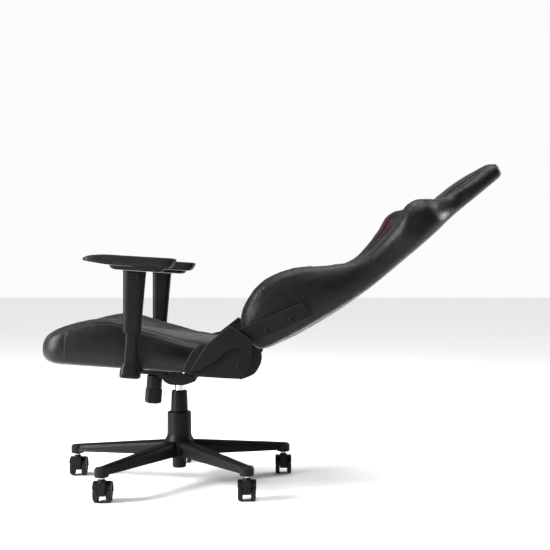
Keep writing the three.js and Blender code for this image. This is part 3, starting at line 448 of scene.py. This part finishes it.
def inflate(obj, seams, hold=0.0):
    """Foam under a skin sewn down along its seams: the panels between swell, but not where hold is 1."""
    start = coords(obj)
    gap, _ = seam_distances(start, seams)
    sewn = obj.vertex_groups.new(name="sewn")
    for i in np.flatnonzero((gap < SEWN_REACH) | (hold > 0.5)):
        sewn.add([int(i)], 1.0, "REPLACE")
    cloth = obj.modifiers.new("foam", "CLOTH")
    cloth.settings.use_pressure = True
    cloth.settings.uniform_pressure_force = 4
    cloth.settings.tension_stiffness = cloth.settings.compression_stiffness = 12
    cloth.settings.bending_stiffness = 0.6
    cloth.settings.vertex_group_mass = "sewn"
    cloth.settings.effector_weights.gravity = 0
    cloth.settings.quality = 4
    cloth.point_cache.frame_end = SWELL_FRAMES
    for step in range(1, SWELL_FRAMES + 1):
        SCENE.frame_set(step)
    apply_modifiers(obj)
    SCENE.frame_set(1)
    moved = coords(obj) - start
    length = np.maximum(np.linalg.norm(moved, axis=1), 1e-9)
    move_to(obj, start + moved * (SWELL * np.tanh(length / SWELL) / length)[:, None])


def sew(obj, seams):
    """Draws the skin down into a groove along every seam, with small pulls running off it."""
    points = coords(obj)
    gap, along = seam_distances(points, seams)
    groove = SEAM_DEPTH * np.exp(-((gap / SEAM_WIDTH) ** 2))
    wander = np.sin(along * 61) + 0.6 * np.sin(along * 143 + 1.7)
    pull = PUCKER * np.sin(along * 2 * math.pi / 0.019 + 2.2 * wander) * (0.45 + 0.28 * wander)
    near = np.exp(-gap / 0.011) * ease(gap / 0.004)
    move_to(obj, points + normals(obj) * (pull * near - groove)[:, None])


STITCH_SIDES = 6
STITCH_LENGTH, STITCH_GAP = 0.0052, 0.0024
THREAD_RADIUS = 0.00042


def stitched(name, obj, seams, slot, body, offset=0.0042):
    """Rows of separate thread stitches, one either side of each seam, or on it where the offset is 0."""
    length, gap, thick = STITCH_LENGTH, STITCH_GAP, THREAD_RADIUS
    surface = surface_of(obj)
    points, faces = [], []
    for seam in seams:
        base, normal = laid_on(surface, seam)
        run = np.gradient(base, axis=0)
        run /= np.maximum(np.linalg.norm(run, axis=1), 1e-9)[:, None]
        across = np.cross(normal, run)
        for side in (-1, 1) if offset else (0,):
            row, out = laid_on(surface, base + side * offset * across, 0.6 * thick)
            travelled = np.concatenate([[0], np.cumsum(np.linalg.norm(np.diff(row, axis=0), axis=1))])
            for begin in np.arange(0, travelled[-1] - length, length + gap):
                marks = begin + length * np.array([0, 0.18, 0.82, 1])
                spine = np.stack([np.interp(marks, travelled, row[:, k]) for k in range(3)], axis=1)
                up = np.array([np.interp(begin + length / 2, travelled, out[:, k]) for k in range(3)])
                up /= np.linalg.norm(up)
                spine[[0, -1]] -= 1.4 * thick * up
                flank = np.cross(spine[-1] - spine[0], up)
                flank /= max(np.linalg.norm(flank), 1e-9)
                first = len(points)
                points.append(spine[0])
                for centre in spine[1:3]:
                    for k in range(STITCH_SIDES):
                        angle = 2 * math.pi * k / STITCH_SIDES
                        points.append(centre + thick * (math.cos(angle) * flank + math.sin(angle) * up))
                points.append(spine[-1])
                for k in range(STITCH_SIDES):
                    a, b = first + 1 + k, first + 1 + (k + 1) % STITCH_SIDES
                    c, d = a + STITCH_SIDES, b + STITCH_SIDES
                    faces += [(first, b, a), (a, b, d, c), (c, d, first + 1 + 2 * STITCH_SIDES)]
    made = mesh_object(name, points, faces)
    give_finish(made, FINISH[slot])
    settle(made, body)


def piping(name, obj, seams, material, radius=0.0021, sides=10):
    """A round welt that lies in each seam."""
    surface = surface_of(obj)
    points, faces = [], []
    for seam in seams:
        base, normal = laid_on(surface, resampled(seam, 0.006), 0.35 * radius)
        run = np.gradient(base, axis=0)
        run /= np.maximum(np.linalg.norm(run, axis=1), 1e-9)[:, None]
        across = np.cross(normal, run)
        up = np.cross(run, across)
        first = len(points)
        for i, centre in enumerate(base):
            taper = radius * (0.25 if i in (0, len(base) - 1) else 1)
            for k in range(sides):
                angle = 2 * math.pi * k / sides
                points.append(centre + taper * (math.cos(angle) * across[i] + math.sin(angle) * up[i]))
        for i in range(len(base) - 1):
            for k in range(sides):
                a, b = first + i * sides + k, first + i * sides + (k + 1) % sides
                faces.append((a, b, b + sides, a + sides))
        last = first + (len(base) - 1) * sides
        faces += [[first + k for k in range(sides)][::-1], [last + k for k in range(sides)]]
    made = mesh_object(name, points, faces)
    give_finish(made, material)
    return made


def settle(obj, body):
    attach(obj, body)
    return obj


# ------------------------------------------------------------------ seat cushion

SEAT_CREST = through(
    (SEAT_FRONT, 0.084), (-0.345, 0.088), (-0.306, 0.106), (-0.258, 0.123), (-0.190, 0.137), (-0.085, 0.118),
    (-0.024, 0.106), (0.032, 0.093), (0.081, 0.087), (SEAT_REAR, 0.082),
)
SEAT_PANEL = through(
    (SEAT_FRONT, 0.076), (-0.306, 0.092), (-0.200, 0.098), (-0.060, 0.090), (0.080, 0.082), (SEAT_REAR, 0.080)
)


def seat_half(y):
    return SEAT_HALF - SEAT_CORNER * (1 - round_end(y - SEAT_FRONT, SEAT_CORNER))


def seat_ring(y):
    nose = round_end(y - SEAT_FRONT, SEAT_NOSE, 3)
    tail = round_end(SEAT_REAR - y, 0.022)
    half = seat_half(y) - 0.012 * (1 - tail) - FOAM_INSET
    low, crest, panel = SEAT_UNDERSIDE + 0.001, SEAT_CREST(y) - FOAM_INSET, SEAT_PANEL(y) - FOAM_INSET
    core = low + 0.54 * (panel - low)
    pull = max(0.12, min(nose, tail))
    flank = [
        (0, low), (half - 0.034, low), (half - 0.010, low + 0.007), (half - 0.001, low + 0.024),
        (half, low + 0.45 * (crest - low)), (half - 0.005, low + 0.78 * (crest - low)),
        (half - 0.020, crest - 0.005), (half - 0.042, crest), (half - 0.068, crest - 0.010),
        (half - SEAT_BOLSTER, panel + 0.003), (0, panel + 0.004),
    ]
    flank = [(x, core + (z - core) * pull) for x, z in flank]
    mirrored = [(-x, z) for x, z in flank[-2:0:-1]]
    return placed(SEAT_SPACE, [(x, y, z) for x, z in flank + mirrored])


def seat_rings():
    front = SEAT_FRONT + FOAM_INSET
    rear = SEAT_REAR - FOAM_INSET
    ends = [0, 0.0015, 0.006, 0.012, 0.022, 0.034, 0.048]
    ys = [front + step for step in ends] + list(np.linspace(-0.29, 0.135, 26))
    return [seat_ring(y) for y in ys + [rear - 0.020, rear - 0.011, rear - 0.004, rear - 0.001, rear]]


SEAT_FRONT_SEAM = -0.297  # where the front panel meets the side panel
SEAT_SEAM_END = 0.140
CHANNEL_X = 0.058


def seat_seams():
    """Seam lines over the left half and the middle, mirrored to the right."""
    ys = np.linspace(SEAT_FRONT_SEAM, SEAT_SEAM_END, 70)
    corner = [
        (seat_half(y) - 0.012, y, SEAT_CREST(y) - 0.012 - 0.03 * (1 - round_end(y - SEAT_FRONT, SEAT_NOSE)))
        for y in np.linspace(-0.352, SEAT_FRONT_SEAM, 12)
    ]
    side = corner + [(SEAT_HALF - 0.010, y, SEAT_CREST(y) - 0.009) for y in ys[1:]]
    bolster = [(SEAT_HALF - SEAT_BOLSTER, y, SEAT_PANEL(y) + 0.004) for y in ys]
    rise = np.linspace(0.006, SEAT_CREST(SEAT_FRONT_SEAM) - 0.012, 20)
    front = [(SEAT_HALF, SEAT_FRONT_SEAM, z) for z in rise]
    channel = [(CHANNEL_X, y, SEAT_PANEL(y) + 0.004) for y in np.linspace(SEAT_FRONT_SEAM, SEAT_SEAM_END, 60)]
    pairs = {"side": side, "bolster": bolster, "front": front, "channel": channel}
    seams = {
        f"{key}_{word}": placed(SEAT_SPACE, [(sign * x, y, z) for x, y, z in line])
        for key, line in pairs.items()
        for word, sign in SIDES.items()
    }
    reach = SEAT_HALF - SEAT_BOLSTER
    level = SEAT_PANEL(SEAT_FRONT_SEAM) + 0.004
    seams["nose"] = placed(SEAT_SPACE, [(x, SEAT_FRONT_SEAM, level) for x in np.linspace(-reach, reach, 90)])
    return seams


def laid_seams(obj, lines):
    surface = surface_of(obj)
    return {key: resampled(laid_on(surface, resampled(line))[0]) for key, line in lines.items()}


def held_in(obj, space, half, proud):
    """Sides that lean on the brackets stay inside the nominal width, as foam pressed on steel does."""
    points = local(space, coords(obj))
    limit = half + proud
    over = np.abs(points[:, 0])
    soft = 0.0015
    points[:, 0] = np.sign(points[:, 0]) * (limit - soft * np.logaddexp(0, (limit - over) / soft))
    move_to(obj, placed(space, points))


def plump(obj, space, all_over, extra):
    """Gives back the size that smoothing took: all over, and more where the skin faces `extra`."""
    extra = np.array(extra)
    facing = local(space, normals(obj) + np.array(space.translation)) @ (extra / np.linalg.norm(extra))
    push = all_over + np.linalg.norm(extra) * np.clip(facing, 0, 1)
    move_to(obj, coords(obj) + normals(obj) * push[:, None])


def subdivided(obj):
    modifier = obj.modifiers.new("subdivision", "SUBSURF")
    modifier.levels = modifier.render_levels = 1
    return apply_modifiers(obj)


def make_seat():
    obj = remeshed(loft("seat_upholstery", seat_rings()), SEAT_VOXEL, 6)
    seams = laid_seams(obj, seat_seams())
    place = local(SEAT_SPACE, coords(obj))
    under = ((place[:, 2] < 0.012) & (np.abs(place[:, 0]) < SEAT_HALF - 0.03)).astype(float)
    inflate(obj, list(seams.values()), under)
    plump(obj, SEAT_SPACE, 0.003, (0, -0.002, 0.001))
    held_in(obj, SEAT_SPACE, SEAT_HALF, SIDE_PROUD)
    subdivided(obj)
    sew(obj, list(seams.values()))
    seat_pan(obj)
    give_finish(obj, LEATHER)
    obj.data.materials.append(PANEL_LEATHER)
    centre = local(SEAT_SPACE, face_centres(obj))
    inside = np.abs(centre[:, 0]) < SEAT_HALF - SEAT_BOLSTER
    panel = inside & (centre[:, 1] > SEAT_FRONT_SEAM) & (centre[:, 2] > 0.05)
    obj.data.polygons.foreach_set("material_index", panel.astype(int))
    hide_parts("seat_cushion")
    settle(obj, "seat")
    joins = [line for key, line in seams.items() if "channel" not in key]
    channels = [line for key, line in seams.items() if "channel" in key]
    stitched("seat_stitching", obj, joins, "black_thread", "seat")
    stitched("seat_channel_stitching", obj, channels, "red_thread", "seat", 0.0)


def face_centres(obj):
    values = np.empty(len(obj.data.polygons) * 3)
    obj.data.polygons.foreach_get("center", values)
    return values.reshape(-1, 3)


def seat_pan(obj):
    """The recess in the underside that the seat's plywood pan is screwed into."""
    pan = local(SEAT_SPACE, coords(NODES["seat_frame"]))
    low, high = pan.min(axis=0) - 0.0012, pan.max(axis=0) + 0.0012
    points = local(SEAT_SPACE, coords(obj))
    within = np.all((points[:, :2] > low[:2]) & (points[:, :2] < high[:2]), axis=1)
    points[within & (points[:, 2] < high[2]), 2] = high[2]
    move_to(obj, placed(SEAT_SPACE, points))


make_seat()

# ------------------------------------------------------------------ back cushion

BACK_REAR = through(
    (BACK_START, -0.064), (0.131, -0.085), (0.205, -0.097), (0.321, -0.110), (0.382, -0.113), (0.511, -0.109),
    (0.708, -0.100), (0.882, -0.097),
)
BACK_CREST = through(
    (BACK_START, 0.020), (0.077, 0.056), (0.107, 0.071), (0.158, 0.084), (0.197, 0.080), (0.232, 0.071),
    (0.277, 0.049), (0.318, 0.021), (0.360, -0.005), (0.400, -0.027), (0.445, -0.037), (0.485, -0.033),
    (0.523, -0.025), (0.564, -0.016), (0.612, 0.003), (0.636, 0.004), (0.664, -0.011), (0.700, -0.036),
    (0.759, -0.050), (BACK_LENGTH, -0.055),
)
BACK_PANEL = through(
    (BACK_START, -0.008), (0.110, 0.014), (0.200, 0.008), (0.300, -0.016), (0.400, -0.044), (0.500, -0.054),
    (0.640, -0.052), (0.720, -0.046), (0.800, -0.044), (BACK_LENGTH, -0.054),
)
BACK_WIDE = through(
    (BACK_START, 0.236), (0.110, 0.258), (0.180, BACK_HALF), (0.260, 0.256), (0.390, 0.238), (0.500, 0.248),
    (0.610, BACK_HALF + 0.006), (0.650, 0.250), (0.690, 0.190), (HEAD_START + 0.015, HEAD_HALF),
    (0.800, 0.146), (BACK_LENGTH, 0.122),
)


def back_half(h):
    head = round_end(BACK_LENGTH - h, 0.026)
    tip = round_end(BACK_LENGTH - h, 0.014)
    foot = round_end(h - BACK_START, 0.020)
    return BACK_WIDE(h) - 0.034 * (1 - head) - 0.016 * (1 - foot), max(0.15, min(0.3 + 0.7 * tip, foot))


def back_flank(h, inset=0.0):
    """Half the back's outline at a height: named corners from the middle of the rear to the front."""
    half, pull = back_half(h)
    half -= inset
    rear, crest, panel = BACK_REAR(h) + inset, BACK_CREST(h) - inset, BACK_PANEL(h) - inset
    scale = half / BACK_HALF
    deep = crest - rear
    core = rear + 0.5 * (panel - rear)
    flank = [
        (0, rear - 0.002), (half - 0.070 * scale, rear), (half - 0.026 * scale, rear + 0.06 * deep),
        (half - 0.006 * scale, rear + 0.22 * deep), (half, rear + 0.45 * deep),
        (half - 0.002 * scale, rear + 0.70 * deep), (half - 0.014 * scale, rear + 0.92 * deep),
        (half - 0.036 * scale, crest), (half - 0.062 * scale, crest - 0.08 * deep),
        (half - BACK_BOLSTER * scale, panel + 0.003), (0, panel + 0.002),
    ]
    return [(x, core + (f - core) * pull) for x, f in flank]


def back_ring(h):
    flank = back_flank(h, FOAM_INSET)
    mirrored = [(-x, f) for x, f in flank[-2:0:-1]]
    return placed(BACK_SPACE, [(x, h, f) for x, f in flank + mirrored])


SHOULDER = 0.652  # height of the cross seam at the neck
HEAD_SEAM_END = 0.893
REAR_CORNER, SIDE_CORNER, OUTER_CORNER, INNER_CORNER = 2, 5, 6, 9  # places in back_flank
CHANNEL_HEIGHTS = (0.150, 0.235, 0.320, 0.405, 0.490, 0.575)


def corner_line(corner, low, high, count, shift=0.0):
    line = []
    for h in np.linspace(low, high, count):
        x, f = back_flank(h)[corner]
        line.append((x + shift, h, f))
    return line


def back_seams():
    pairs = {
        "outer": corner_line(OUTER_CORNER, 0.052, SHOULDER, 120),
        "inner": corner_line(INNER_CORNER, 0.060, SHOULDER, 120),
        "rear": corner_line(REAR_CORNER, 0.056, 0.880, 160),
        "head": corner_line(OUTER_CORNER, SHOULDER, HEAD_SEAM_END, 60),
    }
    seams = {
        f"{key}_{word}": placed(BACK_SPACE, [(sign * x, h, f) for x, h, f in line])
        for key, line in pairs.items()
        for word, sign in SIDES.items()
    }
    flank = back_flank(SHOULDER)[SIDE_CORNER:]
    neck = [(x, SHOULDER, f) for x, f in flank] + [(-x, SHOULDER, f) for x, f in flank[-2::-1]]
    seams["neck"] = placed(BACK_SPACE, neck)
    x, f = back_flank(HEAD_SEAM_END)[OUTER_CORNER]
    crown = [(t * x, HEAD_SEAM_END + 0.004 * (1 - t * t), f) for t in np.linspace(-1, 1, 60)]
    seams["crown"] = placed(BACK_SPACE, crown)
    return seams


ACCENTS = ((0.17, 0.31), (0.53, 0.62), (0.72, 0.86))  # heights that the red strips cover
ACCENT_INNER, ACCENT_OUTER = 0.70, 0.86  # of the back's half width
ACCENT_ROUND = 0.6  # 1 would be an ellipse, 0 a rectangle


def back_accents():
    """Closed outlines of the red strips, round at both ends, on the front of the bolsters and the head."""
    loops = {}
    for k, (low, high) in enumerate(ACCENTS):
        mid, reach = (low + high) / 2, (high - low) / 2
        for word, sign in SIDES.items():
            loop = []
            for turn in np.linspace(0, 2 * math.pi, 90):
                h = mid - reach * math.copysign(abs(math.cos(turn)) ** ACCENT_ROUND, math.cos(turn))
                share = math.copysign(abs(math.sin(turn)) ** ACCENT_ROUND, math.sin(turn))
                across = (ACCENT_INNER + ACCENT_OUTER) / 2 + share * (ACCENT_OUTER - ACCENT_INNER) / 2
                loop.append((sign * across * BACK_WIDE(h), h, BACK_CREST(h) + 0.01))
            loops[f"accent_{k + 1}_{word}"] = placed(BACK_SPACE, loop)
    return loops


def back_channels():
    channels = {}
    for k, h in enumerate(CHANNEL_HEIGHTS):
        x, f = back_flank(h)[INNER_CORNER]
        dip = [(t * x, h - 0.018 * (1 - t * t), f) for t in np.linspace(-1, 1, 70)]
        channels[f"channel_{k + 1}"] = placed(BACK_SPACE, dip)
    return channels


def back_rings():
    foot, head = BACK_START + FOAM_INSET, BACK_LENGTH - FOAM_INSET
    hs = [foot + step for step in (0, 0.001, 0.004, 0.010, 0.020)] + list(np.linspace(0.080, 0.860, 56))
    return [back_ring(h) for h in hs + [head - step for step in (0.026, 0.018, 0.011, 0.005, 0.0015, 0)]]


def make_back():
    obj = remeshed(loft("back_upholstery", back_rings()), BACK_VOXEL, 3)
    seams = laid_seams(obj, back_seams())
    channels = laid_seams(obj, back_channels())
    accents = laid_seams(obj, back_accents())
    lines = [*seams.values(), *channels.values(), *accents.values()]
    inflate(obj, lines)
    plump(obj, BACK_SPACE, 0.004, (0, 0.005, -0.003))
    held_in(obj, BACK_SPACE, BACK_HALF, 0.0045)
    subdivided(obj)
    sew(obj, lines)
    give_finish(obj, LEATHER)
    obj.data.materials.append(PANEL_LEATHER)
    obj.data.materials.append(RED_LEATHER)
    obj.data.polygons.foreach_set("material_index", back_panels(local(BACK_SPACE, face_centres(obj))))
    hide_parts("back_cushion")
    settle(obj, "back")
    settle(piping("back_piping", obj, list(accents.values()), LEATHER, 0.0016), "back")
    stitched("back_stitching", obj, list(seams.values()), "black_thread", "back")
    stitched("back_channel_stitching", obj, list(channels.values()), "red_thread", "back", 0.0)


def back_panels(centre):
    """0 the sides and rear, 1 the middle panel, 2 the red strips on the bolsters' and the head's front."""
    heights = centre[:, 1]
    half = BACK_WIDE(heights)
    out = np.abs(centre[:, 0]) / half
    inner = 1 - BACK_BOLSTER / BACK_HALF
    front = centre[:, 2] > 0.5 * (BACK_REAR(heights) + BACK_PANEL(heights))
    panel = front & (out < inner) & (heights < SHOULDER)
    wide = np.abs(2 * out - ACCENT_INNER - ACCENT_OUTER) / (ACCENT_OUTER - ACCENT_INNER)
    red = np.zeros(len(centre), bool)
    for low, high in ACCENTS:
        tall = np.abs(2 * heights - low - high) / (high - low)
        red |= front & (wide ** (2 / ACCENT_ROUND) + tall ** (2 / ACCENT_ROUND) < 1)
    return np.where(red, 2, panel.astype(int))


make_back()

# ------------------------------------------------------------------ arm pads

PAD_VOXEL = 0.0034
PAD_SEAM_DROP = 0.011  # from the pad's top edge down to the moulding line
PAD_DISH = 0.0022


def make_arm_pad(word):
    """A moulded foam pad: a skin with a parting line round its side and a slightly dished top."""
    node = NODES[f"arm_pad_{word}"]
    obj = bpy.data.objects.new(f"arm_pad_{word}_skin", node.data.copy())
    SCENE.collection.objects.link(obj)
    remeshed(obj, PAD_VOXEL, 5)
    subdivided(obj)
    low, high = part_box(f"arm_pad_{word}")
    centre = (low + high) / 2
    half = (high - low) / 2
    points, out = coords(obj), normals(obj)
    top = ease((out[:, 2] - 0.5) / 0.3)
    u = (points[:, 0] - centre.x) / half.x
    v = (points[:, 1] - centre.y) / half.y
    dish = PAD_DISH * top * np.clip(1 - u * u, 0, 1) * np.clip(1 - v**4, 0, 1)
    flat = 1 - np.abs(out[:, 2])
    level = high.z - PAD_SEAM_DROP - 0.006 * np.clip(v, 0, 1)
    line = 0.0011 * ease(flat / 0.5) * np.exp(-(((points[:, 2] - level) / 0.0014) ** 2))
    points -= out * line[:, None]
    points[:, 2] -= dish
    move_to(obj, points)
    give_finish(obj, FINISH["arm_pad_skin"])
    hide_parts(f"arm_pad_{word}")
    settle(obj, f"arm_rest_{word}")


for side in SIDES:
    make_arm_pad(side)

# ------------------------------------------------------------------ screws and small hardware

SCREW_STEPS = 24


def screw(name, centre, axis, radius, body, proud=0.0022):
    """A button-head screw with a hexagon socket, standing on a surface and pointing along the axis."""
    turn = Vector(axis).to_track_quat("Z", "Y").to_matrix()
    socket = 0.52 * radius
    profile = [
        (radius, -0.0004), (radius, 0.25 * proud), (0.93 * radius, 0.62 * proud),
        (0.76 * radius, 0.92 * proud), (0.66 * radius, proud),
    ]
    rings = [[(r, z)] * SCREW_STEPS for r, z in profile]
    angles = [2 * math.pi * k / SCREW_STEPS for k in range(SCREW_STEPS)]
    hexagon = [socket * math.cos(math.pi / 6) / math.cos((a % (math.pi / 3)) - math.pi / 6) for a in angles]
    rings += [[(r, z) for r in hexagon] for z in (proud, -0.3 * proud)]
    points = [
        Vector(centre) + turn @ Vector((r * math.cos(a), r * math.sin(a), z))
        for ring in rings
        for a, (r, z) in zip(angles, ring)
    ]
    faces = [
        (i * SCREW_STEPS + k, i * SCREW_STEPS + (k + 1) % SCREW_STEPS,
         (i + 1) * SCREW_STEPS + (k + 1) % SCREW_STEPS, (i + 1) * SCREW_STEPS + k)
        for i in range(len(rings) - 1)
        for k in range(SCREW_STEPS)
    ]
    last = (len(rings) - 1) * SCREW_STEPS
    faces += [[last + k for k in range(SCREW_STEPS)], list(range(SCREW_STEPS))[::-1]]
    made = mesh_object(name, [p[:] for p in points], faces, smooth=False)
    smoothing = made.modifiers.new("smoothing", "NODES")
    smoothing.node_group = SMOOTHING
    give_finish(made, FINISH["black_steel"])
    return settle(made, body)


def outer_face(node, point, direction):
    """Where a line through the point, against the direction, first meets a CAD node."""
    data = NODES[node].data
    tree = BVHTree.FromPolygons([v.co.copy() for v in data.vertices], [p.vertices[:] for p in data.polygons])
    start = Vector(point) + 0.5 * Vector(direction)
    return tree.ray_cast(start, -Vector(direction))[0]


COVER_SCREW = (0.018, -0.058)  # from the hinge: [y, z]
BAR_SCREWS = ((0.168, -0.046), (0.098, -0.026))  # [along the back, forward of it]

for word, sign in SIDES.items():
    outward = (sign, 0, 0)
    spot = (0, HINGE.y + COVER_SCREW[0], HINGE.z + COVER_SCREW[1])
    seat_on = outer_face(f"recliner_cover_{word}", spot, outward)
    screw(f"cover_screw_{word}", seat_on, outward, 0.0052, "seat")
    for k, (h, f) in enumerate(BAR_SCREWS):
        spot = placed(BACK_SPACE, [(0, h, f)])[0]
        seat_on = outer_face(f"back_bar_{word}", spot, outward)
        screw(f"bar_screw_{word}_{k + 1}", seat_on, outward, 0.0062, "back", 0.003)

# ------------------------------------------------------------------ floor, light, camera

FLOOR_SIZE = 60.0


def make_floor():
    half = FLOOR_SIZE / 2
    corners = [(-half, -half, 0), (half, -half, 0), (half, half, 0), (-half, half, 0)]
    floor = mesh_object("floor", corners, [(0, 1, 2, 3)])
    made = Shading("studio_floor", (0.92, 0.92, 0.92), 0.6, specular=0.2)
    made.link(made.mixed(made.noise(2.5, 3), (0.91, 0.91, 0.91), (0.93, 0.93, 0.93)), "Base Color")
    give_finish(floor, made.material)


def softbox(name, place, aim, size, power):
    data = bpy.data.lights.new(name, "AREA")
    data.shape = "RECTANGLE"
    data.size, data.size_y = size
    data.energy = power
    lamp = bpy.data.objects.new(name, data)
    lamp.location = place
    lamp.rotation_euler = (Vector(aim) - Vector(place)).to_track_quat("-Z", "Y").to_euler()
    SCENE.collection.objects.link(lamp)


def overhead(name, strength, spread):
    """A wide soft light from straight above that keeps the floor evenly pale out to the horizon."""
    data = bpy.data.lights.new(name, "SUN")
    data.energy = strength
    data.angle = math.radians(spread)
    SCENE.collection.objects.link(bpy.data.objects.new(name, data))


def make_world(seen, lighting):
    """A white studio: bright where the camera looks past the chair, dimmer in what lights it."""
    world = bpy.data.worlds.new("studio")
    world.use_nodes = True
    tree = world.node_tree
    background = tree.nodes["Background"]
    background.inputs["Color"].default_value = (1, 1, 1, 1)
    path = tree.nodes.new("ShaderNodeLightPath")
    strength = tree.nodes.new("ShaderNodeMapRange")
    strength.inputs["To Min"].default_value = lighting
    strength.inputs["To Max"].default_value = seen
    tree.links.new(path.outputs["Is Camera Ray"], strength.inputs["Value"])
    tree.links.new(strength.outputs["Result"], background.inputs["Strength"])
    SCENE.world = world


def make_camera(place, focal, shift_up):
    data = bpy.data.cameras.new("camera")
    data.lens = focal
    data.sensor_width = 36
    data.shift_y = shift_up
    data.clip_end = 60
    camera = bpy.data.objects.new("camera", data)
    camera.location = place
    camera.rotation_euler = (math.radians(90), 0, math.radians(90))
    SCENE.collection.objects.link(camera)
    SCENE.camera = camera


CHAIR_CORE = (0, 0, 0.45)
SOFTBOXES = {  # name: place, size, power in watts
    "key": ((1.3, -2.9, 1.5), (0.9, 1.8), 330),
    "top": ((0.2, 0.3, 3.1), (2.4, 2.4), 70),
    "rim": ((-1.8, 2.6, 1.8), (1.0, 1.6), 60),
}
SEEN_WHITE, WORLD_LIGHT = 0.97, 0.2
SKY_STRENGTH, SKY_SPREAD = 2.35, 60
CAMERA_PLACE = (2.89, -0.001, 0.607)
CAMERA_LENS, CAMERA_SHIFT = 63.0, 0.009

make_floor()
make_world(SEEN_WHITE, WORLD_LIGHT)
for name, (place, size, power) in SOFTBOXES.items():
    softbox(name, place, CHAIR_CORE, size, power)
overhead("sky", SKY_STRENGTH, SKY_SPREAD)
SCENE.view_settings.view_transform = "Standard"
make_camera(CAMERA_PLACE, CAMERA_LENS, CAMERA_SHIFT)
